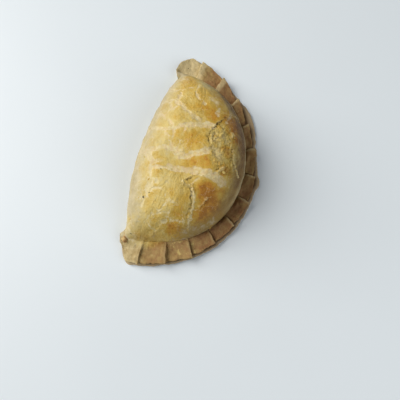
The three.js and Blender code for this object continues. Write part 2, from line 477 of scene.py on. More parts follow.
@dataclass(frozen=True)
class Crimps:
    """Thirteen stepped crimps, each of which climbs along the rim and then drops to the next."""

    count: int = 13
    spaced_from: float = -2.7
    mean_angle: float = 14.15
    swing: float = 1.9
    narrowest: int = 4
    step_angle: float = 0.5
    foot_height: float = 3.4
    low_height: float = 3.9
    rise: float = 2.1
    rise_power: float = 1.2
    inset: float = 1.4
    slant: float = 1.7
    # The first few climb less than the rest, and each climbs and lies a little differently.
    shallow_count: int = 3
    shallower: float = 0.35
    climb_swing: float = 0.25
    lift_swing: float = 0.3
    lift_seed: int = 50
    # Its top, in shares of its length and of its width: a thumb-worn hollow and a rolled edge.
    hollow: float = 0.45
    hollow_length: float = 0.86
    rolled_edge: float = 0.35
    rolled_along: Step = (0.72, 0.9)
    rolled_across: Step = (0.15, 0.5)
    top_across: Step = (0.0, 0.3)
    # Its outer edge, in millimetres: its top ends, rounds over and tucks in underneath.
    top_rows: int = 19
    top_end: float = 0.55
    thickness: float = 0.8
    tuck: float = 0.9
    # Down the rounding: how far out, how far below the top, and how shaded.
    edge: tuple[tuple[float, float, float], ...] = (
        (-0.38, 0.03, 0.0), (-0.2, 0.12, 0.0), (-0.07, 0.28, 0.1), (0.0, 0.5, 0.6), (0.0, 0.8, 1.0)
    )
    shade: Step = (0.74, 0.4)  # over which, out along the lip's top, the crimp's shade ends

    def edges(self, plan: PiePlan) -> list[float]:
        """The lines between the crimps.

        Args:
            plan: the pie in plan.

        Returns:
            Their angles in degrees, with the two ends of the rim.
        """
        edge, found = self.spaced_from, [math.degrees(plan.start)]
        for number in range(1, self.count):
            wave = math.cos(FULL_TURN * (number - self.narrowest) / (self.count - 1))
            edge += self.mean_angle - self.swing * wave
            found.append(edge)
        return [*found, math.degrees(plan.end)]

    def unlike(self, number: int) -> tuple[float, float]:
        """Returns how steeply a crimp climbs beside the rest, and how many millimetres higher it lies."""
        climb = 1.0 - (self.shallower if number < self.shallow_count else 0.0)
        return climb + self.climb_swing * uneven(number), self.lift_swing * uneven(number + self.lift_seed)

    def slants(self) -> list[float]:
        """Returns the lean of each line between crimps, in degrees, and 0 for the two ends of the rim."""
        shares = (number / self.count for number in range(1, self.count))
        return [0.0, *(-self.slant * math.cos(share * math.pi) for share in shares), 0.0]


# ---- Markings of the baked skin ----


class Mark(Enum):
    """What a line on the skin is."""

    VEIN = "vein"  # pale dough that shows between two plates of glaze
    # The dark of a crack is painted shade inside the split.
    CRACK = "crack"  # a dark split
    TORN = "torn"  # a raised, pale, torn edge
    FLOUR = "floury"  # a streak of dry flour


@dataclass(frozen=True)
class Line:
    """A line on the skin, through a few points of the plan. Sizes in millimetres."""

    kind: Mark
    widths: tuple[float, float]  # at its two ends
    points: tuple[Point, ...]
    strength: float
    softness: float  # over which its edge fades
    margin: float = 6.0  # past its points, beyond which it isn't felt

    def smooth(self) -> Array:
        """Rounds the line's corners.

        Returns:
            Its points, each as x, y and the line's width there.
        """
        plan = np.array(self.points, float)
        steps = np.concatenate([[0.0], np.cumsum(np.hypot(*np.diff(plan, axis=0).T))])
        width = mix(self.widths[0], self.widths[1], steps / steps[-1])
        line = np.column_stack([plan, width])
        for _ in range(2):
            near, far = line[:-1] * 0.75 + line[1:] * 0.25, line[:-1] * 0.25 + line[1:] * 0.75
            line = np.vstack([line[:1], np.stack([near, far], 1).reshape(-1, 3), line[-1:]])
        return line

    def mask(self, plan: Array) -> Array:
        """How much of the line lies over each point.

        Args:
            plan: x and y of the points.

        Returns:
            0 to 1 for each point.
        """
        line = self.smooth()
        low, high = line[:, :2].min(0) - self.margin, line[:, :2].max(0) + self.margin
        near = np.where(np.all((plan > low) & (plan < high), axis=1))[0]
        outside = np.full(len(near), math.inf)
        for start, end in zip(line[:-1], line[1:]):
            along = end[:2] - start[:2]
            share = np.clip((plan[near] - start[:2]) @ along / (along @ along), 0.0, 1.0)
            nearest = start[:2] + share[:, None] * along
            gap = np.hypot(*(plan[near] - nearest).T) - 0.5 * mix(start[2], end[2], share)
            outside = np.minimum(outside, gap)
        found = np.zeros(len(plan))
        found[near] = self.strength * (1.0 - ramp(-0.5 * self.softness, 0.5 * self.softness, outside))
        return found


@dataclass(frozen=True)
class Patch:
    """A soft round patch of the plan."""

    x: float
    y: float
    radius: float
    strength: float = 1.0

    def mask(self, plan: Array) -> Array:
        """Returns how much of the patch lies over each point, from 0 to 1."""
        away = (plan[:, 0] - self.x) ** 2 + (plan[:, 1] - self.y) ** 2
        return self.strength * np.exp(-(away / self.radius**2))


def strokes(kind: Mark, softness: float, *rows: tuple[float | Point, ...]) -> tuple[Line, ...]:
    """Returns lines, each given as the widths of its two ends, its strength and then its points."""
    return tuple(Line(kind, row[:2], row[3:], row[2], softness) for row in rows)


def patches(*rows: tuple[float, ...]) -> tuple[Patch, ...]:
    """Returns patches, each given as its x, its y, its radius and, where it isn't 1, its strength."""
    return tuple(Patch(*row) for row in rows)


@dataclass(frozen=True)
class Markings:
    """Every marking that the bake left on the dome: veins, splits, torn edges and broken glaze."""

    broad: tuple[Line, ...] = strokes(
        Mark.VEIN,
        2.0,
        (3.8, 3.4, 1, (-12.6, 36), (-11.8, 31), (-9.8, 25.5), (-8, 20.5)),
        (3.6, 3.4, 1, (3.6, 37), (6.2, 32.5), (8.6, 28), (10.6, 24)),
        (4.8, 3.2, 1, (17.2, 50), (16.6, 45), (15.9, 39), (16.6, 33), (17.4, 26), (17.6, 19)),
    )
    network: tuple[Line, ...] = strokes(
        Mark.VEIN,
        2.2,
        (2.8, 2.4, 1, (-14, 27.5), (-14.8, 24.4), (-17.2, 21), (-19.8, 16.8), (-23.7, 11.5)),
        (2.2, 1.8, 0.8, (-23.7, 11.5), (-27, 12.4), (-31, 11.5)),
        (2.2, 2.6, 0.9, (-14.5, 0.2), (-12.8, 6), (-10.2, 10.7), (-7.1, 13.5), (-5.1, 14.4)),
        (1.4, 1.4, 0.85, (-13.8, 7), (-16, 8.2), (-18.5, 10.6), (-19.8, 12.9)),
        (2.8, 2.4, 0.9, (-8, 20.5), (-6.6, 17.4), (-5.1, 14.2), (-4.2, 6.8), (-5.5, 1.3), (-6, -3)),
        (3, 2.6, 0.95, (9.6, 25.6), (8.1, 21.8), (6.4, 16.5), (7.7, 11.1), (10.4, 4.8), (10, -3)),
        (2.4, 2.2, 0.8, (-5.1, 14.4), (-1.4, 16.2), (2.6, 15.6), (6.4, 16.5)),
        (1.6, 1.8, 0.5, (-3.6, 9.4), (-0.8, 12.6), (-1.4, 16.2)),
        (2, 1.6, 0.9, (8.4, 0.4), (10.1, 1.3), (14.3, 4.5), (16.5, 8.9), (15.8, 13.1)),
        (2.4, 2.6, 0.9, (11.8, 6), (15.9, 8.2), (21.5, 9.3), (25.3, 9.9), (28.5, 11.2), (33, 9.6)),
        (1.2, 1.4, 0.85, (19.2, 9.6), (18.6, 13), (19, 16.3), (17.6, 19)),
        (1.8, 1.4, 0.75, (-20.2, 9.6), (-23.5, 5.6), (-27, 1.6)),
        (1.8, 1.6, 0.8, (-37.2, 17.6), (-35.8, 14.4), (-34.2, 12.2), (-33.2, 7.6), (-36, 3)),
        (2, 1.6, 0.9, (-25.8, 28.5), (-27.8, 24.6), (-30.6, 21.4), (-35, 20.4), (-41, 20.8)),
        (2.6, 1.8, 0.8, (-20.6, 37), (-25, 37.2), (-29, 34.8), (-31, 31)),
        (1.4, 1.8, 0.85, (-17.8, 43.2), (-22.5, 44.4), (-28, 43.9), (-33.5, 42.8), (-38.5, 39.6)),
        (1.2, 0.9, 0.75, (40, 25.2), (44.4, 24), (48, 21.4), (50.6, 20.4)),
        (1, 1.1, 0.8, (41.6, 24), (42.6, 18.6), (45, 13.2), (48.8, 13.4), (51.4, 16.4), (52.6, 18.6)),
        (0.9, 1.1, 0.75, (42.3, 33.6), (43.9, 30.1), (44.2, 26.7), (41.8, 24)),
        (1.2, 1, 0.7, (38, 22), (41, 20.4), (42, 17.4)),
        (2, 0.9, 0.85, (24, 28), (24.5, 32.6), (29.3, 36.4), (34.1, 37.6), (39.1, 37.4), (45.2, 36.9)),
        (2.2, 1.4, 0.7, (19.4, 36.6), (21.6, 34.6), (24.5, 32.6)),
        (2, 2.4, 0.7, (27.6, 14.6), (26, 11.4), (27.4, 8.8), (26.6, 4), (24.4, -1)),
        (1.8, 2.2, 0.6, (31.4, 19), (30, 15.4), (32.4, 11), (36.5, 9.2), (42, 8)),
        (2, 2, 0.5, (36.5, 9.2), (37.6, 4.6), (36.4, 0)),
        (1.8, 2.2, 0.6, (-26.4, 12.3), (-24.8, 8), (-23.4, 3), (-25, -2)),
        (1.4, 1, 0.55, (-9.4, 21.6), (-3, 21.8), (1.6, 20.2), (7.2, 21.6)),
        (1.2, 0.8, 0.5, (-44, 12), (-46, 8), (-50, 5.6)),
        (1.2, 1, 0.45, (31.4, 19), (34.6, 22.4), (36, 26.4)),
        (1.2, 1.4, 0.7, (-33, 32.6), (-29.6, 34.6), (-25.4, 36.6), (-21.8, 38.4)),
    )
    splits: tuple[Line, ...] = strokes(
        Mark.CRACK,
        0.6,
        (0.5, 0.8, 0.9, (-22, 42), (-19.4, 41), (-17.2, 40.2)),
        (0.8, 0.9, 1, (-16.6, 39.8), (-14.2, 38.7), (-11.2, 37.4)),
        (0.75, 0.5, 0.9, (-10.6, 37), (-9.3, 36.2), (-6.2, 35.5), (-4.2, 35.3), (-2.4, 36.3)),
        (0.4, 0.25, 0.6, (-1.8, 37), (0.4, 38.2), (3.2, 40.4)),
        (0.7, 0.3, 0.7, (-8.6, 38.6), (-5.4, 38), (-3.2, 39)),
        (0.3, 0.4, 0.75, (17.2, 37.2), (18.4, 34.9), (20.2, 33), (21.6, 31.2), (23.2, 29.8), (25.2, 29.3)),
        (0.4, 0.4, 0.8, (25, 32.9), (26.6, 33.9), (28.4, 34.9)),
        (0.4, 0.3, 0.85, (29.7, 35.2), (32.7, 36.1), (34.8, 36)),
        (0.35, 0.3, 0.8, (36.2, 35.8), (38.4, 35.4), (40.4, 35)),
        (0.3, 0.2, 0.5, (41.8, 34.9), (43.6, 35.2), (45, 35.6)),
        (0.4, 0.3, 0.6, (28.6, 44.6), (31, 43.5), (33.6, 41.9)),
        (0.5, 0.3, 0.8, (11.4, 46.2), (13.4, 44.6), (15.2, 44.6)),
        (0.8, 0.7, 0.95, (-5.4, 48.8), (-4, 49.6), (0.7, 51), (3.8, 52.2), (6.2, 53.6)),
        (0.7, 0.3, 0.7, (-12.4, 49), (-9.8, 49.4), (-8.2, 48.2)),
        (0.4, 0.3, 0.6, (-3, 44.9), (0.6, 45.4), (3.6, 46.6)),
    )
    torn: tuple[Line, ...] = strokes(
        Mark.TORN,
        0.8,
        (0.5, 0.8, 0.6, (-24, 43.8), (-20.3, 41.2), (-16.7, 39.4), (-13.4, 37.6), (-10.2, 35.8)),
        (1.6, 1, 1, (-12.6, 48.6), (-11.2, 48.1), (-9.8, 48.4)),
        (0.6, 0.7, 0.6, (-9.4, 48.8), (-7, 48.6), (-4.2, 49.4)),
        (0.6, 1.1, 1, (-3.9, 50.4), (0.7, 52), (3.8, 53.2), (6.3, 54.7), (7.7, 56.2), (9.6, 57.2)),
        (1, 0.9, 1, (9.8, 48.9), (11.4, 47.4), (13, 45.9), (15.4, 46.2)),
        (0.6, 0.6, 0.4, (17, 44.6), (16.9, 40.4), (18, 37.8)),
        (0.7, 0.7, 0.8, (26.8, 45.6), (29, 43.2), (31.6, 42), (34.2, 40.6)),
        (0.7, 0.8, 0.9, (24.4, 33.8), (27, 35.2), (30, 36.6), (34, 37.4), (39, 36.8), (45.5, 36.7)),
        (0.4, 0.4, 0.5, (30, 34), (33, 34.8), (37.4, 34.3), (41.6, 33.6), (45, 34.2)),
        (0.5, 0.9, 0.8, (19.4, 32.2), (21.2, 29.9), (23, 28.7), (25.6, 28.2)),
        (0.8, 0.6, 0.8, (7.8, 23.6), (7.6, 21.2)),
        (0.7, 0.5, 0.9, (-6.8, 37.2), (-4.4, 37.2), (-2.6, 38.4)),
        (0.9, 0.7, 0.5, (-12, 43), (-8, 43.6), (-3, 42.6), (1.5, 43.4)),
        (0.7, 0.6, 0.6, (50.4, 20.4), (52, 18), (54.4, 15.4)),
        (0.6, 0.4, 0.6, (-23.4, 39.4), (-25, 42.6), (-27.4, 46.2), (-28.8, 50.2)),
        (0.6, 0.8, 0.9, (-56.2, 22.6), (-55.2, 24.6), (-54.9, 26.4), (-53.8, 28.8)),
    )
    floury: tuple[Line, ...] = strokes(
        Mark.FLOUR,
        1.2,
        (1.2, 1.6, 0.95, (49.6, 32.4), (46.4, 37.6), (43.6, 42.6), (40.2, 47), (36.4, 50.4)),
        (0.6, 0.8, 0.7, (50.6, 34.6), (47, 40.2), (43, 45.6)),
        (0.8, 0.6, 0.5, (51.6, 27), (49.6, 32), (46.4, 35.6)),
        (0.5, 0.7, 0.7, (56.6, 14.8), (56, 19), (55, 23.4)),
        (0.8, 0.5, 0.9, (55.1, 16.4), (53.6, 20.4), (51.1, 23.2)),
        (0.8, 1.2, 0.95, (53.6, 25.7), (52.6, 30.8), (50.7, 35.9)),
    )
    broken: tuple[Patch, ...] = patches(
        (-15.5, 43.5, 4, 0.8), (-9, 41, 5), (-10, 47, 4.6, 0.9), (-1.5, 41.5, 5.5),
        (-2, 47.5, 4.8, 0.9), (5, 45, 5.5), (5.5, 50.5, 4.4, 0.8), (10.6, 49.6, 4, 0.8),
        (25.6, 32, 2.4, 0.9), (51.5, 16, 3, 0.6),
    )
    scorched: tuple[Patch, ...] = patches(
        (57.2, 9, 2.6, 0.5), (56, 12.8, 2, 0.6), (58.8, 18, 2.2, 0.9), (58.2, 22.4, 2.4, 0.8),
        (-19.6, 44.6, 3.6, 0.5),
    )
    wander: Ripple = Ripple(2.6, 5)
    wander_depth: float = 0.5
    raggedness: Ripple = Ripple(1.1, 8)
    ragged_depth: float = 0.62
    flip_shift: float = 40.0  # keeps the bend along one axis unlike that along the other
    fading: Ripple = Ripple(3.4, 14)
    vein_strength: float = 0.9
    fade: float = 0.35
    blotches: Ripple = Ripple(4.0, 3, 3)
    blotch_strength: float = 0.175
    broken_levels: Step = (0.4, 0.8)

    def masks(self, plan: Array) -> Facts:
        """The markings at points of the plan.

        Args:
            plan: x and y of each point, in millimetres.

        Returns:
            For each marking's name, 0 to 1 at each point.
        """
        flipped = plan[:, ::-1] + self.flip_shift
        shifted = plan + self.wander_depth * np.column_stack([self.wander.at(plan), self.wander.at(flipped)])
        frayed = np.column_stack([self.raggedness.at(plan), self.raggedness.at(flipped)])
        ragged = plan + self.ragged_depth * frayed

        lines = (*self.broad, *self.network, *self.splits, *self.torn, *self.floury)

        def strongest(kind: Mark, where: Array) -> Array:
            """Returns the strongest of the lines of one kind at each point."""
            return np.max([line.mask(where) for line in lines if line.kind is kind], axis=0)

        vein = strongest(Mark.VEIN, shifted) * (self.vein_strength + self.fade * self.fading.at(plan))
        blotch = self.blotch_strength * self.blotches.at(plan)
        broken = sum(patch.mask(plan) for patch in self.broken) + blotch
        found = {kind.value: strongest(kind, ragged) for kind in (Mark.CRACK, Mark.TORN, Mark.FLOUR)}
        return found | {
            Mark.VEIN.value: np.clip(vein, 0.0, 1.0),
            "broken": ramp(*self.broken_levels, broken),
            "scorched": np.clip(sum(patch.mask(ragged) for patch in self.scorched), 0.0, 1.0),
        }


@dataclass(frozen=True)
class Bake:
    """How far each part of the skin is baked, from 0, pale dough, to 1, toasted."""

    at_fold: float = 0.3
    on_top: float = 0.5
    pale_from: float = 1.0  # from the fold in to where the gold begins
    pale_width: float = 15.0  # from the fold in to the full gold of the top
    spots: tuple[Patch, ...] = patches(
        (-20, 33, 7, 0.16), (-18, 37.5, 4, 0.1), (-0.8, 27, 6, 0.26),
        (-3.5, 33, 3.6, 0.16), (11.9, 31, 4, 0.24), (11, 40.5, 5, 0.22),
        (24.5, 42, 6, 0.24), (27, 46.5, 7, 0.22), (35, 42, 5.5, 0.26), (33.5, 48, 6, 0.2),
        (21, 50.5, 4.5, 0.2), (46.8, 30, 5.4, 0.36), (48.8, 26, 2.6, 0.24), (40, 29.8, 3.2, 0.2),
        (32, 32, 4, 0.14), (55, 8, 2.4, 0.24), (-42.5, 12.5, 6.5, 0.3), (-25.5, 29, 5, 0.2),
        (-21, 33.5, 4, 0.12), (-33.8, 33, 4.5, 0.12), (9.3, 37.6, 3.6, 0.2), (30, 44.5, 8, 0.1),
        (25, 39.6, 4.4, 0.16), (38.4, 41.6, 4.4, 0.24), (-3, 45, 3.4, 0.2),
        (45, 15, 4.5, -0.16), (-36, 38, 7, 0.2), (-22, 47, 5, 0.16),
        (-20, 45.2, 4, 0.16), (-31, 26, 3.6, 0.12), (21.2, 2.6, 3.4, 0.2),
        (29, 3, 4.6, -0.12), (3, 9.6, 6, -0.12), (-2.6, 2, 4, -0.08), (-19.6, 3.6, 3.6, 0.18),
        (12.8, 7.6, 3.4, 0.12), (15.6, 2.6, 5.4, -0.2), (-12.8, 15, 4.2, 0.16), (21.4, 13.6, 3, 0.2),
        (12.4, 17.4, 3, 0.08), (40.8, 4.8, 5.4, -0.2), (46.2, 17.4, 2.6, 0.2), (-0.7, 48, 3.4, 0.5),
        (10.5, 50.5, 3.8, 0.34), (-14, 46.4, 3.6, 0.26), (-10.3, 51.6, 3.4, 0.56),
        (-21.6, 46, 4.4, 0.34), (-17.6, 50, 3.6, 0.3), (12, 47.6, 2.2, 0.2),
        (27, 18, 5, -0.12), (8, 16.7, 5, -0.16), (-17.5, 5.7, 5, -0.16),
        (33.6, 38, 4, -0.2), (48.6, 8.4, 4.6, -0.2), (-30, 33.5, 3, -0.16),
        (-46, 24, 7, -0.12), (-8.6, 41, 4, -0.26), (-1, 42.4, 4.2, -0.26),
        (6.7, 45.5, 3.8, -0.24), (-4.8, 46.8, 2.4, -0.24),
    )
    # Along the rim: between which two angles, in degrees, the crimps turn browner, and by how much.
    along_rim: tuple[tuple[float, float, float], ...] = (
        (4, 17, 0.4), (33, 50, 0.17), (88, 108, 0.07), (132, 150, -0.1), (158, 170, -0.66)
    )
    rim_start: float = 0.12
    blotches: Ripple = Ripple(6.5, 3, 3)
    fraying: Ripple = Ripple(1.8, 17, 3)
    fraying_depth: float = 0.9
    blotch_strength: float = 0.08
    turn_shift: float = 25.0  # keeps the fraying along one axis unlike that along the other

    def skin(self, plan: Array, behind_fold: Array) -> Array:
        """How far the dome is baked.

        Args:
            plan: x and y of the points, in millimetres.
            behind_fold: how far each lies behind the fold's line.

        Returns:
            0 to 1 for each point.
        """
        trend = mix(self.at_fold, self.on_top, ramp(self.pale_from, self.pale_width, behind_fold))
        turned = plan[:, ::-1] + self.turn_shift
        frayed = plan + self.fraying_depth * np.column_stack([self.fraying.at(plan), self.fraying.at(turned)])
        spots = sum(patch.mask(frayed) for patch in self.spots)
        return np.clip(trend + spots + self.blotch_strength * self.blotches.at(plan), 0.0, 1.0)

    def rim(self, angle: Array) -> Array:
        """Returns how far the rim is baked at each angle, in radians."""
        total = np.full_like(angle, self.rim_start)
        for start, end, browner in self.along_rim:
            total += browner * ramp(start, end, np.degrees(angle))
        return np.clip(total, 0.0, 1.0)


# ---- The crust ----


class ProfileRow(NamedTuple):
    """One row of the rim's profile, or all of them, from the dome's foot out over a crimp and in under it."""

    across: float | Array = 1.0  # share of the crimp's width
    out: float | Array = 0.0  # millimetres further out
    overhang: float | Array = 0.0  # share of the lip's overhang
    inset: float | Array = 0.0  # share of the crimp's inset
    drop: float | Array = 0.0  # millimetres below the crimp's top
    height: float | Array = 0.0  # above the underside, where the row isn't on the crimp
    level: float | Array = 0.0  # how much of it is on the crimp
    hidden: float | Array = 0.0  # how far it lies in the shade of the crimp's edge


@dataclass(frozen=True)
class CrustSheet:
    """The closed sheet of dough before it is raised: its layout in plan and the facts that shape it."""

    plan: PiePlan = PiePlan()
    lip: Lip = Lip()
    crimps: Crimps = Crimps()
    marks: Markings = Markings()
    bake: Bake = Bake()
    fold_from: float = -54.0  # where the fold's columns start and end, short of the rim's own
    fold_to: float = 54.8
    edge_wear: Ripple = Ripple(3.0, 21, 3)
    edge_wear_depth: float = 0.22
    step_wear_shift: float = 40.0  # keep the wear of the steps and of the lip unlike that of the crimps
    lip_wear_shift: float = 90.0
    columns_per_crimp: int = 34
    columns_per_step: int = 4
    end_columns: int = 72  # on each side of the fold's middle stretch
    end_crowding: float = 1.25  # the power with which they crowd towards the ends
    corner_columns: int = 7  # between each end of the fold and the rim
    dome_rows: int = 82
    row_crowding: float = 0.38  # how far they crowd towards the foot
    fold_undercut: float = 6.0
    undercut_ends: Step = (1.0, 0.75)  # in shares of the fold's half length
    rings: tuple[float, ...] = (0.7, 0.35)  # of the flat base, as shares of the way out from its middle

    def rim_columns(self) -> Facts:
        """The stations along the rim.

        Returns:
            For each station its angle, slant, how far along its crimp it is, and how that crimp differs.
        """
        edges, slants = self.crimps.edges(self.plan), self.crimps.slants()
        half = self.crimps.step_angle / 2
        rows: list[tuple[float, ...]] = []
        for number in range(self.crimps.count):
            first = edges[number] + (half if number else 0.0)
            last = edges[number + 1] - (half if number < self.crimps.count - 1 else 0.0)
            climb, lift = self.crimps.unlike(number)
            for step in range(self.columns_per_crimp):
                share = step / (self.columns_per_crimp - 1)
                lean = mix(slants[number], slants[number + 1], share)
                rows.append((mix(first, last, share), lean, share, climb, lift, 0.0))
            if number == self.crimps.count - 1:
                break
            next_climb, next_lift = self.crimps.unlike(number + 1)
            for step in range(1, self.columns_per_step + 1):
                share = step / (self.columns_per_step + 1)
                fall = float(ramp(0.0, 1.0, share))
                angle = last + share * self.crimps.step_angle
                unlike = mix(climb, next_climb, fall), mix(lift, next_lift, fall)
                rows.append((angle, slants[number + 1], 1.0 - fall, *unlike, 1.0))
        names = ("angle", "slant", "along", "climb", "lift", "step")
        table = dict(zip(names, np.array(rows).T))
        return table | {name: np.radians(table[name]) for name in ("angle", "slant")}

    def outer_rows(self) -> ProfileRow:
        """The rows from the dome's foot out over a crimp, round its edge and the lip, and in underneath.

        Returns:
            All the rows, with an array under each of their names.
        """
        lip, crimps = self.lip, self.crimps
        rise = lip.height + lip.slope / 2
        quarters = (0.25, 0.5, 0.75, 1.0)
        rows = []
        for step in range(1, crimps.top_rows + 1):
            share = step / crimps.top_rows
            rows.append(ProfileRow(across=share, out=-crimps.top_end * share, inset=share, level=1.0))
        for out, drop, hidden in crimps.edge:
            rows.append(ProfileRow(out=out, inset=1.0, drop=drop, level=1.0, hidden=hidden))
        for share in quarters:
            out, level = -crimps.tuck * share, 1.0 - share
            rows.append(ProfileRow(1.0, out, 0.0, 1.0, crimps.thickness, rise, level, 1.0))
        for share in lip.top_rows:
            out, hidden = mix(-crimps.tuck, -lip.top_end, share), ramp(*crimps.shade, share)
            height = rise - lip.slope * share
            rows.append(ProfileRow(1.0, out, share, 1.0 - share, 0.0, height, hidden=hidden))
        for out, height in (*lip.edge, (-lip.undercut, lip.lift_off)):
            rows.append(ProfileRow(out=out, overhang=1.0, height=height))
        for share in quarters:
            out = mix(-lip.undercut, -lip.contact_inset, share)
            height = lip.lift_off * (1.0 - share) ** lip.lift_power
            rows.append(ProfileRow(out=out, overhang=1.0 - share, height=height))
        return ProfileRow(*np.array(rows).T)

    @cached_property
    def layout(self) -> Layout:
        """Lays the sheet out, once.

        Returns:
            The points in millimetres, the facts at each point, and the faces.
        """
        plan, rim = self.plan, self.rim_columns()
        angle = rim["angle"]
        foot = np.column_stack([np.cos(angle), np.sin(angle)]) * plan.foot(angle)[:, None]
        over = np.abs(foot[:, 0]) < plan.ridge_half
        middle_x = foot[over, 0][::-1]
        ends = np.linspace(0.0, 1.0, self.end_columns + 1)[1:-1] ** self.end_crowding
        left = mix(self.fold_from, middle_x[0], ends)
        right = mix(self.fold_to, middle_x[-1], ends)[::-1]
        fold_x = np.concatenate([left, middle_x, right])
        fold = np.column_stack([fold_x, plan.fold_y(fold_x)])
        outer = self._outer_of_rim(foot, rim)
        under = self._outer_of_fold(fold, outer["place"].shape[1])
        names = ("along", "climb", "lift", "step")
        tables = {name: np.concatenate([rim[name], np.zeros(len(fold))]) for name in names}
        tables["feet"] = np.vstack([foot, fold])
        tables["outer"] = np.concatenate([outer["place"], under])
        tables["outward"] = np.vstack([outer["outward"], np.zeros((len(fold), 2))])
        edge_names = ("across", "level", "drop", "inset", "hidden")
        for name in edge_names:
            tables[name] = np.vstack([outer[name], np.zeros(under.shape[:2])])
        tables = {name: self._with_corners(value, len(foot)) for name, value in tables.items()}

        shares = np.linspace(0.0, 1.0, self.dome_rows + 1)
        crowded = self.row_crowding * np.sin(shares * math.pi / 2)
        shares = (1.0 - self.row_crowding) * shares + crowded
        feet = tables["feet"]
        ridge_x = np.clip(feet[:, 0], -plan.ridge_half, plan.ridge_half)
        ridge = np.column_stack([ridge_x, np.full(len(feet), plan.ridge_y)])
        dome = ridge[:, None] + (feet - ridge)[:, None] * shares[None, :, None]
        last = dome.shape[1] + under.shape[1]
        columns, rows = len(feet), last + len(self.rings)
        place = np.zeros((columns, rows, 3))
        place[:, : dome.shape[1], :2] = dome
        place[:, dome.shape[1] : last] = tables["outer"]
        centre = np.array([0.0, plan.ridge_y, 0.0])
        for ring, share in enumerate(self.rings):
            place[:, last + ring] = centre + (place[:, last - 1] - centre) * share

        facts = {name: np.zeros((columns, rows)) for name in (*names, "dome", *edge_names)}
        facts["dome"][:, : dome.shape[1]] = 1.0
        for name in names:
            facts[name][:] = tables[name][:, None]
        for name in edge_names:
            facts[name][:, dome.shape[1] : last] = tables[name]
        outward = np.zeros((columns, rows, 3))
        outward[..., :2] = tables["outward"][:, None]
        return self._weld(place, facts, outward, len(foot), over)

    def _with_corners(self, table: Array, rim_count: int) -> Array:
        """Adds columns between the ends of the rim and of the fold, blended from the two next to them.

        Args:
            table: one row for each column round the pie, along the rim and back along the fold.
            rim_count: how many of them lie along the rim.

        Returns:
            The table with the corners' columns in place.
        """
        shares = np.arange(1, self.corner_columns + 1) / (self.corner_columns + 1)
        shares = shares.reshape(-1, *[1] * (table.ndim - 1))
        left = mix(table[rim_count - 1], table[rim_count], shares)
        right = mix(table[-1], table[0], shares)
        return np.concatenate([table[:rim_count], left, table[rim_count:], right])

    def _outer_of_rim(self, foot: Array, rim: Facts) -> Facts:
        """The rows past the dome's foot in the columns along the rim.

        Args:
            foot: where each column leaves the dome.
            rim: the stations along the rim.

        Returns:
            The place of each row and the facts that its crimp needs.
        """
        plan, angle, rows = self.plan, rim["angle"], self.outer_rows()
        reach = plan.reach(angle)
        round_rim = plan.rim_radius * angle
        wear = self.edge_wear.at(np.column_stack([round_rim, self.step_wear_shift * rim["step"]]))
        radius = mix(plan.foot(angle), plan.rim(angle) + self.edge_wear_depth * wear, reach)
        turned = angle + rim["slant"] * reach
        edge = np.column_stack([np.cos(turned), np.sin(turned)]) * radius[:, None]
        width = np.hypot(*(edge - foot).T)
        outward = (edge - foot) / width[:, None]
        frayed = self.edge_wear.at(np.column_stack([round_rim, np.full_like(angle, self.lip_wear_shift)]))
        stands = (self.lip.stands_out(angle) + self.edge_wear_depth * frayed) * reach
        out = width[:, None] * rows.across + reach[:, None] * rows.out + stands[:, None] * rows.overhang
        out[:, -1] = np.maximum(out[:, -1], width * 0.5)
        place = np.zeros((*out.shape, 3))
        place[..., :2] = foot[:, None] + outward[:, None] * out[..., None]
        place[..., 2] = rows.height
        same = np.ones((len(foot), 1))
        facts = {name: getattr(rows, name) * same for name in ("across", "level", "drop", "hidden")}
        return facts | {"inset": rows.inset * reach[:, None], "place": place, "outward": outward}

    def _outer_of_fold(self, fold: Array, rows: int) -> Array:
        """The rows past the fold's outermost line, round in under the pie.

        Args:
            fold: where each column meets that line.
            rows: how many rows there are.

        Returns:
            The place of each row.
        """
        turn = np.arange(1, rows + 1) / rows * math.pi / 2
        undercut = self.fold_undercut * ramp(*self.undercut_ends, np.abs(fold[:, 0]) / self.plan.half_length)
        place = np.zeros((len(fold), rows, 3))
        place[..., 0] = fold[:, :1]
        place[..., 1] = fold[:, 1:] + undercut[:, None] * (1.0 - np.cos(turn))
        place[..., 2] = self.plan.fold_z(fold[:, 0])[:, None] * (1.0 - np.sin(turn))
        return place

    def _weld(
        self, place: Array, facts: Facts, outward: Array, rim_count: int, over: Array
    ) -> Layout:
        """Joins the columns into one closed skin, with the ridge and its two ends welded.

        Args:
            place: the place of each row of each column.
            facts: the facts at each.
            outward: the way out of the pie at each.
            rim_count: how many columns lie along the rim.
            over: which of them run straight over the middle of the pie.

        Returns:
            The points, the facts at each point, and the faces.
        """
        columns, rows = place.shape[:2]
        number = np.arange(columns * rows).reshape(columns, rows)
        straight = np.where(over)[0]
        first, last = straight[0], straight[-1]
        number[:first, 0] = number[first, 0]
        number[last + 1 : rim_count, 0] = number[last, 0]
        start = rim_count + self.corner_columns + self.end_columns - 1
        number[start : start + len(straight), 0] = number[straight[::-1], 0]
        number[rim_count:start, 0] = number[last, 0]
        number[start + len(straight) :, 0] = number[first, 0]
        under = columns * rows
        faces: list[tuple[int, ...]] = []
        for column in range(columns):
            here, there = number[column], number[(column + 1) % columns]
            for row in range(rows - 1):
                ring = (here[row], here[row + 1], there[row + 1], there[row])
                faces.append(tuple(dict.fromkeys(int(v) for v in ring)))
            faces.append((int(here[-1]), under, int(there[-1])))
        points = np.vstack([place.reshape(-1, 3), [[0.0, self.plan.ridge_y, 0.0]]])
        used = np.unique(np.concatenate([number.ravel(), [under]]))
        renumber = np.full(under + 1, -1)
        renumber[used] = np.arange(len(used))
        flat = {name: np.append(value.ravel(), 0.0)[used] for name, value in facts.items()}
        flat["outward"] = np.vstack([outward.reshape(-1, 3), [[0.0, 0.0, 0.0]]])[used]
        return points[used], flat, [tuple(int(renumber[v]) for v in face) for face in faces if len(face) > 2]

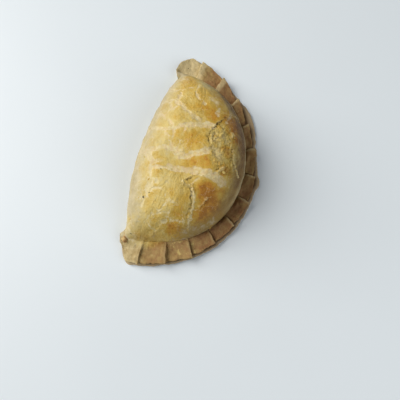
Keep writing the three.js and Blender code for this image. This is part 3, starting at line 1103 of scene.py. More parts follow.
    def mesh(self) -> Mesh:
        """Makes the sheet's mesh, in millimetres, with every fact and marking stored on it.

        Returns:
            The mesh that the crust's tree starts from.
        """
        points, laid, faces = self.layout
        facts, plan, where = dict(laid), self.plan, points[:, :2]
        x, y = points[:, 0], points[:, 1]
        angle = np.arctan2(y, x)
        angle = np.where(angle < -math.pi / 2, angle + FULL_TURN, angle)
        facts["behind_fold"] = np.maximum(y - plan.fold_y(x), 0.0)
        facts["behind_rim"] = np.maximum(plan.foot(angle) - np.hypot(x, y), 0.0)
        facts["past_foot"] = np.hypot(x, y) - plan.foot(angle)
        facts["fold_height"] = plan.fold_z(x)
        facts["around"] = np.clip(angle / math.pi, 0.0, 1.0)
        facts["bake"] = self.bake.skin(where, facts["behind_fold"])
        facts["rim_bake"] = self.bake.rim(angle)
        for name, value in self.marks.masks(where).items():
            facts[name] = value * (1.0 if name in (Mark.FLOUR.value, "scorched") else facts["dome"])
        made = bpy.data.meshes.new("crust.sheet")
        made.from_pydata(points.tolist(), [], faces)
        for name, value in facts.items():
            kind, part = ("FLOAT", "value") if value.ndim == 1 else ("FLOAT_VECTOR", "vector")
            stored = made.attributes.new(name, kind, "POINT")
            stored.data.foreach_set(part, value.astype(np.float32).ravel())
        made.update()
        return made


@dataclass(frozen=True)
class Crust:
    """The baked crust, raised from its sheet by a Geometry Nodes tree. Sizes in millimetres."""

    sheet: CrustSheet = CrustSheet()
    crown_height: float = 35.0
    end_drop: float = 0.0036
    ridge_sharpness: float = 3.0
    full_depth: float = 24.4
    roundness: float = 2.15
    flank_steepness: float = 1.9
    end_steepness: float = 0.95
    end_power: float = 4.0  # with which the section changes towards the ends
    lip_shown: float = 0.7
    lip_shown_over: Stretch = (0.2, 0.3, 0.72, 0.82)  # round the rim, in half turns
    lump_height: float = 0.7
    lump_length: Point = (9.5, 8.0)
    lump_phase: Point = (0.6, 0.4)
    slant_length: Point = (5.3, 6.1)
    slant_share: float = 0.6
    vein_depth: float = 0.25
    crack_depth: float = 0.9
    torn_height: float = 0.6
    crumb_height: float = 0.72
    plate_scale: float = 0.27
    plate_warp: float = 2.6
    swell_height: float = 1.5
    grain_height: float = 0.75
    dent_height: float = 1.3
    bend: float = 2.2
    fillet_width: float = 2.6
    fillet_height: float = 0.55
    near_fillet_width: float = 7.0
    near_fillet_height: float = 2.3
    near_fillet_over: Step = (0.13, 0.05)  # round the rim, in half turns
    seed: int = 11

    def tree(self, material: Material) -> GeometryTree:
        """Writes the tree that raises the dome, presses the crimps and breaks the glaze.

        Args:
            material: the finish of the crust.

        Returns:
            The tree, with its sizes as named inputs.
        """
        g = GeometryTree("Baked crust")
        start = g.out(g.node("GeometryNodeInputPosition"))
        split = g.node("ShaderNodeSeparateXYZ", Vector=start)
        x, y, z = (g.out(split, axis) for axis in "XYZ")
        dome = self._dome(g, x, y)
        crimp = self._crimp(g)
        level, drop = g.attribute("level"), g.attribute("drop")
        rim = mix(z, crimp - drop, level)
        height = mix(rim, dome, g.attribute("dome"))
        shown = g.size("Lip Shown", self.lip_shown) * g.over(g.attribute("around"), self.lip_shown_over)
        inset = g.size("Crimp Inset", self.sheet.crimps.inset) * (1.0 - g.attribute("along")) + shown
        inset = inset * g.attribute("inset")
        moved = g.vector("SCALE", g.attribute("outward", "FLOAT_VECTOR"), Scale=0.0 - inset)
        shifted = g.node("ShaderNodeSeparateXYZ", Vector=g.vector("ADD", start, moved))
        raised = g.node("ShaderNodeCombineXYZ", X=g.out(shifted, "X"), Y=g.out(shifted, "Y"), Z=height)
        g.place(Position=g.out(raised))
        self._relief(g)
        into = {"Translation": tuple(self.origin()), "Scale": (MM, MM, MM)}
        carried = g.node("GeometryNodeTransform", Geometry=g.geometry, **into)
        g.geometry = g.out(g.node("GeometryNodeSetShadeSmooth", Geometry=g.out(carried)))
        g.finish(material)
        return g

    def origin(self) -> Vector:
        """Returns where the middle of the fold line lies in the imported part's frame, in metres."""
        low, high = (Vector(corner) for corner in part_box(NODE))
        outline = self.sheet.layout[0]
        middle = (outline.min(0) + outline.max(0)) * MM / 2
        return Vector(((low.x + high.x) / 2 - middle[0], (low.y + high.y) / 2 - middle[1], low.z))

    def _dome(self, g: GeometryTree, x: Term, y: Term) -> Term:
        """The height of the dome, from its depth behind the two outlines.

        Args:
            g: the tree.
            x: where along the pie.
            y: where across it.

        Returns:
            The height in millimetres.
        """
        fold, rim = g.attribute("behind_fold"), g.attribute("behind_rim")
        power = g.size("Ridge Sharpness", self.ridge_sharpness)
        both = fold + rim
        depth = both - (fold**power + rim**power) ** (1.0 / power)
        share = g.held(depth / g.size("Full Depth", self.full_depth))
        towards_end = g.held(g.math("ABSOLUTE", x) / self.sheet.plan.half_length) ** self.end_power
        flank = g.size("Flank Steepness", self.flank_steepness)
        steepness = mix(flank, g.size("End Steepness", self.end_steepness), towards_end)
        rising = g.held(1.0 - (1.0 - share) ** g.size("Roundness", self.roundness))
        section = rising ** (1.0 / steepness)
        foot_height = g.size("Foot Height", self.sheet.crimps.foot_height)
        edge = mix(foot_height, g.attribute("fold_height"), g.held(rim / g.most(both, TINY)))
        crown = g.size("Crown Height", self.crown_height) - g.size("End Drop", self.end_drop) * x * x
        length_x, length_y = self.lump_length
        phase_x, phase_y = self.lump_phase
        waves = g.math("SINE", x / length_x + phase_x) * g.math("COSINE", y / length_y + phase_y)
        slanted = g.math("SINE", x / self.slant_length[0] - y / self.slant_length[1])
        lumps = waves + self.slant_share * slanted
        g.store("section", section * g.attribute("dome"))
        lumpy = g.size("Lump Height", self.lump_height) * lumps * section * section
        return mix(edge, crown, section) + lumpy

    def _crimp(self, g: GeometryTree) -> Term:
        """The height of a crimp's top: it climbs along the rim, with a thumb-worn middle and a rolled edge.

        Args:
            g: the tree.

        Returns:
            The height in millimetres.
        """
        crimps = self.sheet.crimps
        along, across = g.attribute("along"), g.attribute("across")
        climb = g.size("Crimp Rise", crimps.rise) * g.attribute("climb") * along**crimps.rise_power
        lengthwise = g.math("SINE", g.held(along / crimps.hollow_length) * math.pi)
        worn = g.size("Thumb Hollow", crimps.hollow) * lengthwise * g.math("SINE", across * math.pi)
        rolled = g.size("Rolled Edge", crimps.rolled_edge) * g.step(along, *crimps.rolled_along)
        rolled = rolled * g.step(across, *crimps.rolled_across)
        top = g.size("Crimp Low", crimps.low_height) + g.attribute("lift") + climb - worn + rolled
        return mix(crimps.foot_height, top, g.step(across, *crimps.top_across))

    def _relief(self, g: GeometryTree) -> None:
        """Breaks the glaze: sunk veins, split cracks, torn lips, crumbs and the grain of the dough.

        Args:
            g: the tree, whose geometry is already raised.
        """
        place = g.out(g.node("GeometryNodeInputPosition"))
        away = g.out(g.node("GeometryNodeInputNormal"))
        seed = g.size("Seed", self.seed, "NodeSocketInt")
        shift = g.out(g.node("ShaderNodeCombineXYZ", X=seed * 37.0, Y=11.0, Z=5.0))
        where = g.vector("ADD", place, shift)
        vein, crack, torn, broken = (g.attribute(name) for name in ("vein", "crack", "torn", "broken"))
        bare = g.step(vein + (g.noise(where, 0.9, 3.0, 0.6) - 0.5) * 0.9, 0.3, 0.8)
        crack = crack * g.step(g.noise(where, 0.75, 3.0, 0.6), 0.4, 0.54)
        g.store("crack", crack)
        swell = (g.noise(where, 0.14, 2.0) - 0.5) * g.size("Swell", self.swell_height)
        grain = (g.noise(where, 0.9, 4.0, 0.62) - 0.5) * g.size("Grain", self.grain_height)
        warp = g.vector("SCALE", g.colour_noise(where, 0.45), Scale=self.plate_warp)
        warped = g.vector("ADD", where, warp)
        plate, gap = g.plates(warped, self.plate_scale), g.step(g.cells(warped, self.plate_scale), 0.1, 0.0)
        g.store("plate", plate)
        g.store("gap", gap * broken)
        crumbs = g.noise(where, 0.42, 5.0, 0.62) - 0.5
        heaped = crumbs * 1.5 + (plate - 0.5) * 0.7 - gap * 0.16 - 0.2
        crumbly = heaped * broken * g.size("Crumb Height", self.crumb_height)
        off_foot = g.math("ABSOLUTE", g.attribute("past_foot"))
        near_end = g.step(g.attribute("around"), *self.near_fillet_over)
        width = mix(self.fillet_width, self.near_fillet_width, near_end)
        low, high = g.size("Fillet", self.fillet_height), g.size("Near Fillet", self.near_fillet_height)
        fillet = g.step(off_foot, width, 0.0) * mix(low, high, near_end)
        dents = (g.noise(where, 0.3, 3.0, 0.55) - 0.5) * g.attribute("level")
        dents = dents * g.size("Dents", self.dent_height)
        keep = g.held(g.attribute("dome") + g.attribute("level"))
        offset = (
            (swell + grain + fillet) * keep
            + crumbly
            + dents
            + torn * g.size("Torn Height", self.torn_height)
            - bare * g.size("Vein Depth", self.vein_depth)
            - crack * g.size("Crack Depth", self.crack_depth)
        )
        g.place(Offset=g.vector("SCALE", away, Scale=offset))
        sway = g.vector("SUBTRACT", g.colour_noise(where, 0.16), (0.5, 0.5, 0.5))
        bend = g.size("Bend", self.bend) * g.attribute("level") * g.step(g.attribute("across"), 0.0, 0.4)
        g.place(Offset=g.vector("MULTIPLY", g.vector("SCALE", sway, Scale=bend), (1.0, 1.0, 0.3)))

    def build(self, material: Material) -> Object:
        """Makes the crust.

        Args:
            material: its finish.

        Returns:
            The piece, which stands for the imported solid.
        """
        piece = self.tree(material).grow("crust", self.sheet.mesh())
        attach(piece, BODY)
        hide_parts(NODE)
        return piece


@dataclass(frozen=True)
class Scatter:
    """Loose bits of crust that a Geometry Nodes tree scatters where the glaze is broken."""

    name: str
    gathers_on: str  # the marking that they gather on
    density: float  # to a square metre, where that marking is full
    stray_density: float  # to a square metre, over the rest of the dome
    length: tuple[float, float]  # least and greatest, in metres
    proportions: tuple[float, float, float]  # of a bit, beside its length
    tilt: float  # radians
    raggedness: float  # metres
    seed: int

    def build(self, crust: Object, material: Material) -> Object:
        """Scatters the bits over the crust.

        Args:
            crust: the baked crust, with its markings.
            material: the finish of the bits.

        Returns:
            The piece.
        """
        g = GeometryTree(self.name.replace("_", " "))
        seed = g.size("Seed", self.seed, "NodeSocketInt")
        thick = g.attribute(self.gathers_on) * g.size("Density", self.density)
        thin = g.attribute("dome") * g.size("Stray Density", self.stray_density)
        amount = {"Density": thick + thin, "Seed": seed}
        spots = g.node("GeometryNodeDistributePointsOnFaces", Mesh=g.geometry, **amount)
        bit = g.node("GeometryNodeMeshIcoSphere", Radius=0.5, Subdivisions=1)
        low, high = (-self.tilt, -self.tilt, 0.0), (self.tilt, self.tilt, FULL_TURN)
        turn = g.node("FunctionNodeRandomValue", {"data_type": "FLOAT_VECTOR"}, Min=low, Max=high, Seed=seed)
        turns = {"Rotation": g.out(spots, "Rotation"), "Rotate_By": g.out(turn)}
        turned = g.node("FunctionNodeRotateRotation", {"rotation_space": "LOCAL"}, **turns)
        least, greatest = g.size("Least Length", self.length[0]), g.size("Greatest Length", self.length[1])
        lengths = {"Min": least, "Max": greatest, "Seed": seed + 1.0}
        length = g.node("FunctionNodeRandomValue", {"data_type": "FLOAT"}, **lengths)
        shape = {"Rotation": g.out(turned), "Scale": g.vector("SCALE", self.proportions, Scale=g.out(length))}
        bits = g.node("GeometryNodeInstanceOnPoints", Points=g.out(spots), Instance=g.out(bit), **shape)
        g.geometry = g.out(g.node("GeometryNodeRealizeInstances", Geometry=g.out(bits)))
        where = g.vector("SCALE", g.out(g.node("GeometryNodeInputPosition")), Scale=1.0 / MM)
        ragged = g.vector("SUBTRACT", g.colour_noise(where, 1.1), (0.5, 0.5, 0.5))
        g.place(Offset=g.vector("SCALE", ragged, Scale=g.size("Raggedness", self.raggedness)))
        g.finish(material)
        piece = g.grow(self.name, crust.data)
        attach(piece, BODY)
        return piece


@dataclass(frozen=True)
class DoughCurl:
    """The little roll of spare dough at the near end of the fold. Sizes in millimetres."""

    middle: tuple[float, float, float] = (59.5, 0.6, 4.9)
    length: float = 5.8
    outer_radius: float = 1.75
    inner_radius: float = 0.55
    thickness: float = 0.95
    turns: float = 1.55
    start: float = 0.35  # radians up from the side that faces the rim
    stations: int = 34
    profile_points: int = 16
    corner_power: float = 0.6
    wear: Ripple = Ripple(1.3, 31, 3)
    wear_depth: float = 0.14
    start_length: float = 0.08  # of the whole roll, over which its outer end thickens
    end_length: float = 0.1  # over which its inner end thins
    sway: float = 0.5  # by which its layers lie unevenly along it

    def _station(self, number: int) -> list[Vector]:
        """The roll's cross-section at one station along it.

        Args:
            number: which station, from the outer end in.

        Returns:
            Its points about the middle of the roll, in millimetres.
        """

        def squared(value: float) -> float:
            """Returns a sine or cosine drawn out towards the corners of the cross-section."""
            return math.copysign(abs(value) ** self.corner_power, value)

        share = number / (self.stations - 1)
        angle = self.start + share * self.turns * FULL_TURN
        radius = mix(self.outer_radius, self.inner_radius, share)
        started = min(share / self.start_length, 1.0)
        ended = max(0.0, share - 1.0 + self.end_length) / self.end_length
        tapered = 1.0 - 0.25 * share - 0.5 * (1.0 - started) - 0.4 * ended
        points = []
        for point in range(self.profile_points):
            turn = FULL_TURN * point / self.profile_points
            along, through = squared(math.cos(turn)), squared(math.sin(turn))
            worn = self.wear.at(np.array([[along * 2.4 + 9.0, angle * 1.6 + through]]))[0] * self.wear_depth
            out = radius + float(worn) + 0.5 * self.thickness * through * min(1.0, tapered * 1.2)
            x = 0.5 * self.length * along * (0.75 + 0.25 * tapered) + self.sway * math.sin(angle * 1.7)
            points.append(Vector((x, out * math.cos(angle), out * math.sin(angle))))
        return points

    def build(self, origin: Vector, material: Material) -> Object:
        """Rolls the curl up.

        Args:
            origin: where the middle of the fold line lies, in metres.
            material: its finish.

        Returns:
            The piece.
        """
        points = [point for number in range(self.stations) for point in self._station(number)]
        middle, around = Vector(self.middle), self.profile_points
        made = bpy.data.meshes.new("dough_curl")
        faces: list[tuple[int, ...]] = []
        for here in range(0, (self.stations - 1) * around, around):
            for point in range(around):
                there, after = here + around, (point + 1) % around
                faces.append((here + point, here + after, there + after, there + point))
        faces.append(tuple(reversed(range(around))))
        faces.append(tuple(range((self.stations - 1) * around, self.stations * around)))
        made.from_pydata([tuple(origin + MM * (middle + point)) for point in points], [], faces)
        made.update()
        work = bmesh.new()
        work.from_mesh(made)
        bmesh.ops.recalc_face_normals(work, faces=work.faces)
        bmesh.ops.triangulate(work, faces=[face for face in work.faces if len(face.verts) > 4])
        bmesh.ops.subdivide_edges(work, edges=work.edges, cuts=1, use_grid_fill=True, smooth=0.3)
        work.to_mesh(made)
        work.free()
        made.shade_smooth()
        made.materials.append(material)
        piece = linked("dough_curl", made)
        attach(piece, BODY)
        return piece


@dataclass(frozen=True)
class HerbFlecks:
    """Flecks of dried herb on the crust, each given as x, y and length in millimetres."""

    flecks: tuple[tuple[float, float, float], ...] = (
        (36.5, 8.5, 1.5), (33.6, 11.4, 0.8), (56.8, 4.1, 1.0), (20.0, 14.8, 0.7), (-65.3, 6.0, 0.9)
    )
    flatness: float = 0.3
    slimness: float = 0.75
    turn_each: float = 1.3  # radians by which each is turned beside the one before
    raggedness: float = 0.35

    def build(self, crust: Object, origin: Vector, material: Material) -> Object:
        """Lays the flecks on the crust.

        Args:
            crust: the baked crust.
            origin: where the middle of the fold line lies, in metres.
            material: their finish.

        Returns:
            The piece.
        """
        skin = crust.data
        corners = [tuple(face.vertices) for face in skin.polygons]
        tree = BVHTree.FromPolygons([vertex.co for vertex in skin.vertices], corners)
        work = bmesh.new()
        for number, (x, y, length) in enumerate(self.flecks):
            above = Vector((origin.x + MM * x, origin.y + MM * y, 2.0 * CAD_BOX[1][2]))
            place, normal, _, _ = tree.ray_cast(above, Vector((0.0, 0.0, -1.0)))
            turn = normal.to_track_quat("Z", "Y").to_matrix().to_4x4()
            spin = Matrix.Rotation(self.turn_each * number, 4, "Z")
            shape = Matrix.Diagonal((1.0, self.slimness, self.flatness, 1.0))
            matrix = Matrix.Translation(place) @ turn @ spin @ shape
            made = bmesh.ops.create_icosphere(work, subdivisions=2, radius=0.5 * MM * length, matrix=matrix)
            for index, vertex in enumerate(made["verts"]):
                vertex.co += normal.cross(vertex.co - place) * self.raggedness * uneven(7 * number + index)
        mesh = bpy.data.meshes.new("herb_flecks")
        work.to_mesh(mesh)
        work.free()
        mesh.materials.append(material)
        piece = linked("herb_flecks", mesh)
        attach(piece, BODY)
        return piece


# ---- Finishes ----


@dataclass(frozen=True)
class Mottle:
    """Noise over a surface: how fine it is, and its contrast or the two levels between which it shows."""

    scale: float  # of the noise, to the millimetre
    detail: float
    roughness: float = 0.5
    contrast: float = 2.0
    levels: Step = (0.4, 0.6)


class MaterialGraph(Graph):
    """A material's node tree, with its shader and a few helpers for colour."""

    def __init__(self, name: str) -> None:
        """Starts a material.

        Args:
            name: the material's name.
        """
        self.material = bpy.data.materials.new(name)
        self.material.use_nodes = True
        super().__init__(self.material.node_tree)
        self.shader = self.tree.nodes["Principled BSDF"]
        place = self.out(self.node("ShaderNodeTexCoord"), "Object")
        self.mm = self.vector("SCALE", place, Scale=1.0 / MM)

    def speckle(self, scale: float, detail: float, roughness: float = 0.5) -> Term:
        """Returns plain noise over the surface, its scale to the millimetre."""
        return self.noise(self.mm, scale, detail, roughness)

    def mottled(self, kind: Mottle) -> Term:
        """Returns noise of that kind from 0 to 1, with its contrast raised."""
        noise = self.speckle(kind.scale, kind.detail, kind.roughness)
        return self.held((noise - 0.5) * kind.contrast + 0.5)

    def blotched(self, kind: Mottle) -> Term:
        """Returns 1 in blotches where noise of that kind is past its levels, and 0 between them."""
        return self.step(self.speckle(kind.scale, kind.detail, kind.roughness), *kind.levels)

    def tint(self, first: object, second: object, share: Term | float) -> Term:
        """Mixes two colours.

        Args:
            first: a colour or a term.
            second: a colour or a term.
            share: how much of the second.

        Returns:
            The mixed colour.
        """
        made = self.tree.nodes.new("ShaderNodeMix")
        made.data_type = "RGBA"
        self.feed(made.inputs["Factor"], share)
        for socket, value in zip((made.inputs[6], made.inputs[7]), (first, second)):
            self.feed(socket, (*value, 1.0) if isinstance(value, tuple) else value)
        return Term(self, made.outputs[2])

    def coats(self, under: object, *coats: tuple[object, Term | float]) -> Term:
        """Returns a colour with coats laid over it in turn, each given as its colour and its share."""
        for colour, share in coats:
            under = self.tint(under, colour, share)
        return under

    def axis(self, name: str) -> Term:
        """Returns one coordinate of the place, in millimetres."""
        return self.out(self.node("ShaderNodeSeparateXYZ", Vector=self.mm), name)

    def scale(self, share: Term, *stops: tuple[float, Colour]) -> Term:
        """Runs a number through a scale of colours.

        Args:
            share: the number.
            *stops: the colours, each after the number at which it stands.

        Returns:
            The colour at that number.
        """
        top = stops[-1][0]
        made = self.node("ShaderNodeValToRGB", Fac=share / top)
        marks = made.color_ramp.elements
        for mark, (place, colour) in zip((marks[0], marks[1]), (stops[0], stops[-1])):
            mark.position, mark.color = place / top, (*colour, 1.0)
        for place, colour in stops[1:-1]:
            marks.new(place / top).color = (*colour, 1.0)
        return self.out(made, "Color")

    def dress(
        self, colour: object, roughness: object, bump: Term | None = None, depth: float = 0.0
    ) -> Material:
        """Sets the shader's colour, roughness and bump.

        Args:
            colour: a colour or a term.
            roughness: a number or a term.
            bump: the height of the fine relief, if any.
            depth: how deep that relief is, in metres.

        Returns:
            The material.
        """
        self.feed(self.shader.inputs["Base Color"], (*colour, 1.0) if isinstance(colour, tuple) else colour)
        self.feed(self.shader.inputs["Roughness"], roughness)
        if bump is not None:
            relief = self.node("ShaderNodeBump", Strength=1.0, Distance=depth, Height=bump)
            self.feed(self.shader.inputs["Normal"], self.out(relief, "Normal"))
        return self.material


@dataclass(frozen=True)
class CrustFinish:
    """Egg-glazed shortcrust: gold to amber plates, pale dough between them, and a brown rim."""

    cream: Colour = linear(230, 213, 164)
    pale: Colour = linear(215, 197, 146)
    light_gold: Colour = linear(219, 195, 122)
    gold: Colour = linear(213, 181, 95)
    deep_gold: Colour = linear(206, 165, 68)
    amber: Colour = linear(203, 149, 56)
    toasted: Colour = linear(176, 116, 42)
    rosy_dough: Colour = linear(224, 198, 150)
    # Pale torn dough, also painted as highlight on the far crimps' steps that face the light.
    torn_dough_and_highlight: Colour = linear(240, 220, 158)
    crumb_light: Colour = linear(226, 198, 108)
    crumb_dark: Colour = linear(172, 130, 48)
    # Dark brown painted as shade into cracks, gaps between plates, creases between crimps and under their
    # edges.
    split: Colour = linear(86, 54, 12)
    # The palest rim, also painted as highlight on the crimps' raised ends and crests.
    pale_rim_and_highlight: Colour = linear(206, 186, 138)
    rim_tan: Colour = linear(166, 138, 86)
    rim_brown: Colour = linear(144, 103, 66)
    rim_dark: Colour = linear(114, 72, 49)
    lip: Colour = linear(190, 168, 134)
    # Browns for the bands of painted shade along the foot, partly thinner glaze; the first also browns the
    # fold's sole.
    dull_and_shade_brown: Colour = linear(134, 106, 66)
    thin_glaze_shade_brown: Colour = linear(158, 124, 66)
    greyed: Colour = linear(134, 101, 55)
    # Painted shade, with some deeper browning, for the flank that turns from the light.
    flank: Colour = linear(97, 63, 24)
    raw: Colour = linear(163, 150, 114)
    rosy_raw: Colour = linear(176, 162, 134)
    bald: Colour = linear(186, 172, 140)
    flour: Colour = linear(204, 194, 166)
    scorch: Colour = linear(158, 116, 50)
    freckle: Colour = linear(128, 88, 44)
    fine: Mottle = Mottle(1.3, 4.0, 0.65)
    medium: Mottle = Mottle(0.36, 4.0, 0.6, 2.2)
    wobble: Mottle = Mottle(0.6, 4.0, 0.65, 2.2)
    patchy: Mottle = Mottle(0.42, 3.0, 0.6, 2.4)
    hairlines: Mottle = Mottle(0.1, 2.0, levels=(0.4, 0.56))
    net: Mottle = Mottle(0.09, 2.0, levels=(0.38, 0.52))
    rosiness: Mottle = Mottle(0.5, 3.0)
    rawness: Mottle = Mottle(0.22, 4.0, levels=(0.3, 0.7))
    thinness: Mottle = Mottle(0.11, 3.0, levels=(0.34, 0.56))
    freckles: Mottle = Mottle(0.8, 2.0, levels=(0.7, 0.76))
    crumbs: Mottle = Mottle(0.7, 5.0, 0.7, levels=(0.38, 0.58))
    foot_blotches: Mottle = Mottle(0.2, 4.0, 0.6, levels=(0.4, 0.66))
    # Millimetres behind the fold's line: its side, and where on it dough is unglazed, bald or freckled.
    side: Step = (13.0, 2.0)
    unglazed: Step = (18.0, 0.5)
    bald_veins: Step = (7.0, 2.0)
    freckled: Step = (5.0, 12.0)
    # Millimetres along the pie: where dough turns rosy, the near end keeps its glaze and the sole ends.
    rosy: Step = (34.0, 14.0)
    glazed_end: Step = (36.0, 52.0)
    sole_end: Step = (56.0, 49.0)
    # Millimetres past the line of the dome's foot.
    # Painted shade, partly thinner glaze, in bands up from the foot and over the flank.
    thin_glaze_and_shade_band: Step = (-7.6, -2.6)
    shaded_band: Step = (-11.5, -4.5)
    seam_band: Stretch = (-3.6, -1.6, -0.6, 0.4)
    pale_line_band: Step = (-3.5, -1.5)
    # Millimetres above the underside.
    sole_height: Step = (6.5, 0.5)
    seam_height: Step = (16.5, 8.5)
    pale_line_height: float = 4.7
    pale_line_width: Step = (1.4, 0.3)
    # Stretches of the foot and of the crimps, in half turns round the rim from the near end.
    # Where round the rim the painted shade along the foot lies, and the stretch that the light reaches, where
    # it is weaker.
    thin_glaze_and_shade: Stretch = (0.14, 0.24, 0.76, 0.9)
    lit: Stretch = (0.18, 0.23, 0.29, 0.36)
    shaded: Stretch = (0.27, 0.52, 0.74, 0.92)
    seam: Stretch = (0.3, 0.42, 0.74, 0.84)
    pale_line: Stretch = (0.12, 0.2, 0.78, 0.9)
    palest_line: Stretch = (0.32, 0.4, 0.7, 0.78)
    paler_crimps: Stretch = (0.44, 0.5, 0.72, 0.8)
    speckled_crimps: Stretch = (0.13, 0.15, 0.21, 0.24)
    middle_crimps: Step = (0.24, 0.34)
    far_crimps: Step = (0.6, 0.72)
    wide_crimps: Step = (0.75, 0.82)
    creased_crimps: Step = (0.22, 0.14)
    shaded_lip: Step = (0.02, 0.1)
    near_end: Step = (0.15, 0.06)
    roughness: float = 0.48
    dry_roughness: float = 0.72
    specular: float = 0.2
    grain_depth: float = 0.0004  # metres

    def material(self) -> Material:
        """Makes the crust's material from the bake and the markings stored on its mesh.

        Returns:
            The material.
        """
        m = MaterialGraph("glazed_shortcrust")
        fine, medium = m.mottled(self.fine), m.mottled(self.medium)
        skin, bare = self._glaze(m, fine, medium)
        skin = self._fold_side(m, skin, bare, medium)
        crumbly = m.tint(self.crumb_dark, self.crumb_light, m.blotched(self.crumbs))
        # Painted shade darkens the gaps between the broken plates.
        skin = m.coats(skin, (crumbly, m.attribute("broken") * 0.42), (self.split, m.attribute("gap") * 0.34))
        skin = self._foot(m, skin, medium)
        skin = m.tint(skin, self.torn_dough_and_highlight, m.attribute("torn") * (0.4 + 0.6 * fine) * 0.9)
        skin = m.coats(
            self._rim(m, skin, fine, medium),
            (self.scorch, m.attribute("scorched") * (0.35 + 0.6 * medium)),
            # painted shade inside the cracks
            (self.split, m.held(m.attribute("crack") * (0.75 + 0.5 * fine))),
        )
        dry = m.held(bare * 0.6 + m.attribute("broken") + m.attribute("across"))
        m.shader.inputs["Specular IOR Level"].default_value = self.specular
        grain = fine * 0.5 + m.speckle(3.2, 3.0) * 0.5
        return m.dress(skin, mix(self.roughness, self.dry_roughness, dry), grain, self.grain_depth)

    def _glaze(self, m: MaterialGraph, fine: Term, medium: Term) -> tuple[Term, Term]:
        """Bakes the glaze from cream to brown, and lays bare the dough along the veins.

        Args:
            m: the material's tree.
            fine: noise under a millimetre wide.
            medium: noise a few millimetres wide.

        Returns:
            The colour, and how bare the dough is.
        """
        side, wobble = m.step(m.attribute("behind_fold"), *self.side), m.mottled(self.wobble)
        warped = m.vector("ADD", m.mm, m.vector("SCALE", m.colour_noise(m.mm, 0.4), Scale=3.0))
        hairline = m.step(m.cells(warped, 0.19), 0.13, 0.0) * m.blotched(self.hairlines)
        net = m.step(m.cells(warped, 0.12), 0.16, 0.02) * side * m.blotched(self.net)
        vein = m.attribute("vein") * (0.6 + 0.7 * wobble)
        bare = m.step(vein + hairline * 0.4 + net * 0.6 + (fine - 0.5) * 0.44, 0.24, 0.64)
        plate = (m.attribute("plate") - 0.5) * m.attribute("broken")
        cloudy = (m.speckle(0.15, 3.0) - 0.5) * side
        brown = m.attribute("bake") + (medium - 0.5) * 0.24 + (fine - 0.5) * 0.22 + plate * 0.4 + cloudy * 0.6
        skin = m.scale(
            brown, (0.0, self.cream), (0.2, self.pale), (0.38, self.light_gold), (0.54, self.gold),
            (0.7, self.deep_gold), (0.84, self.amber), (1.0, self.toasted),
        )
        rosy = m.blotched(self.rosiness) * m.step(m.axis("X"), *self.rosy)
        dough = m.tint(self.cream, self.rosy_dough, rosy)
        glazed = 0.08 + 0.4 * m.step(wobble, 0.65, 0.25)
        return m.tint(skin, m.tint(dough, skin, glazed), bare), bare

    def _fold_side(self, m: MaterialGraph, skin: Term, bare: Term, medium: Term) -> Term:
        """Leaves the fold's side raw and dull, and freckles the top behind it.

        Args:
            m: the material's tree.
            skin: the colour so far.
            bare: how bare the dough is.
            medium: noise a few millimetres wide.

        Returns:
            The colour with the fold's side in place.
        """
        behind = m.attribute("behind_fold")
        raw = m.tint(self.raw, self.rosy_raw, m.blotched(self.rawness))
        raw = m.tint(raw, self.bald, bare * mix(0.65, 0.3, m.step(behind, *self.bald_veins)))
        unglazed = m.step(behind, *self.unglazed) * (0.84 - 0.22 * m.step(m.attribute("bake"), 0.36, 0.6))
        unglazed = unglazed * mix(0.7, 1.0, m.blotched(self.thinness))
        unglazed = unglazed * mix(1.0, 0.6, m.step(m.axis("X"), *self.glazed_end))
        sole = m.step(m.axis("Z"), *self.sole_height) * m.step(m.attribute("across"), 0.02, 0.0)
        sole = sole * m.step(behind, *self.side) * m.step(m.math("ABSOLUTE", m.axis("X")), *self.sole_end)
        return m.coats(
            skin,
            (raw, unglazed),
            (self.dull_and_shade_brown, sole * (0.25 + 0.55 * medium)),
            (self.freckle, m.blotched(self.freckles) * m.step(behind, *self.freckled) * 0.3),
        )

    def _foot(self, m: MaterialGraph, skin: Term, medium: Term) -> Term:
        """Darkens the dome towards its foot with painted shade, partly thinner glaze, and lays pale lines
        along the foot itself.

        Args:
            m: the material's tree.
            skin: the colour so far.
            medium: noise a few millimetres wide.

        Returns:
            The colour with the bands along the foot in place.
        """
        past_foot, around, dome = (m.attribute(name) for name in ("past_foot", "around", "dome"))
        past = past_foot + (medium - 0.5) * 2.4
        mottled, lit = m.blotched(self.foot_blotches), m.over(around, self.lit)
        # Painted shade, partly thinner glaze: a darker band up from the foot, weaker where the light reaches.
        thin_glaze_and_shade = m.step(past, *self.thin_glaze_and_shade_band) * dome * m.over(around, self.thin_glaze_and_shade)
        thin = m.tint(self.dull_and_shade_brown, m.tint(self.thin_glaze_shade_brown, self.greyed, lit), mottled * 0.7)
        # Painted shade over the flank that turns from the light, with some deeper browning.
        shaded = m.step(past, *self.shaded_band) * dome * m.over(around, self.shaded)
        seam = m.over(past_foot, self.seam_band) * m.step(m.axis("Z"), *self.seam_height)
        seam = seam * m.over(around, self.seam) * dome
        # Pale lines along the foot and up its flank, palest round the stretch that lies in shade.
        off_line_height = m.math("ABSOLUTE", m.axis("Z") - self.pale_line_height)
        pale_line = m.step(off_line_height, *self.pale_line_width) * m.step(past, *self.pale_line_band) * dome
        line_paleness = 0.15 + 0.3 * m.over(around, self.palest_line) + 0.5 * medium
        return m.coats(
            skin,
            (thin, thin_glaze_and_shade * (0.8 - 0.18 * lit)),
            (self.flank, shaded * (0.86 - 0.28 * mottled)),
            (self.flour, m.attribute("floury") * m.step(medium, 0.25, 0.75) * 0.6),
            (self.cream, seam * (0.34 + 0.3 * medium)),
            (self.cream, pale_line * m.over(around, self.pale_line) * line_paleness),
        )

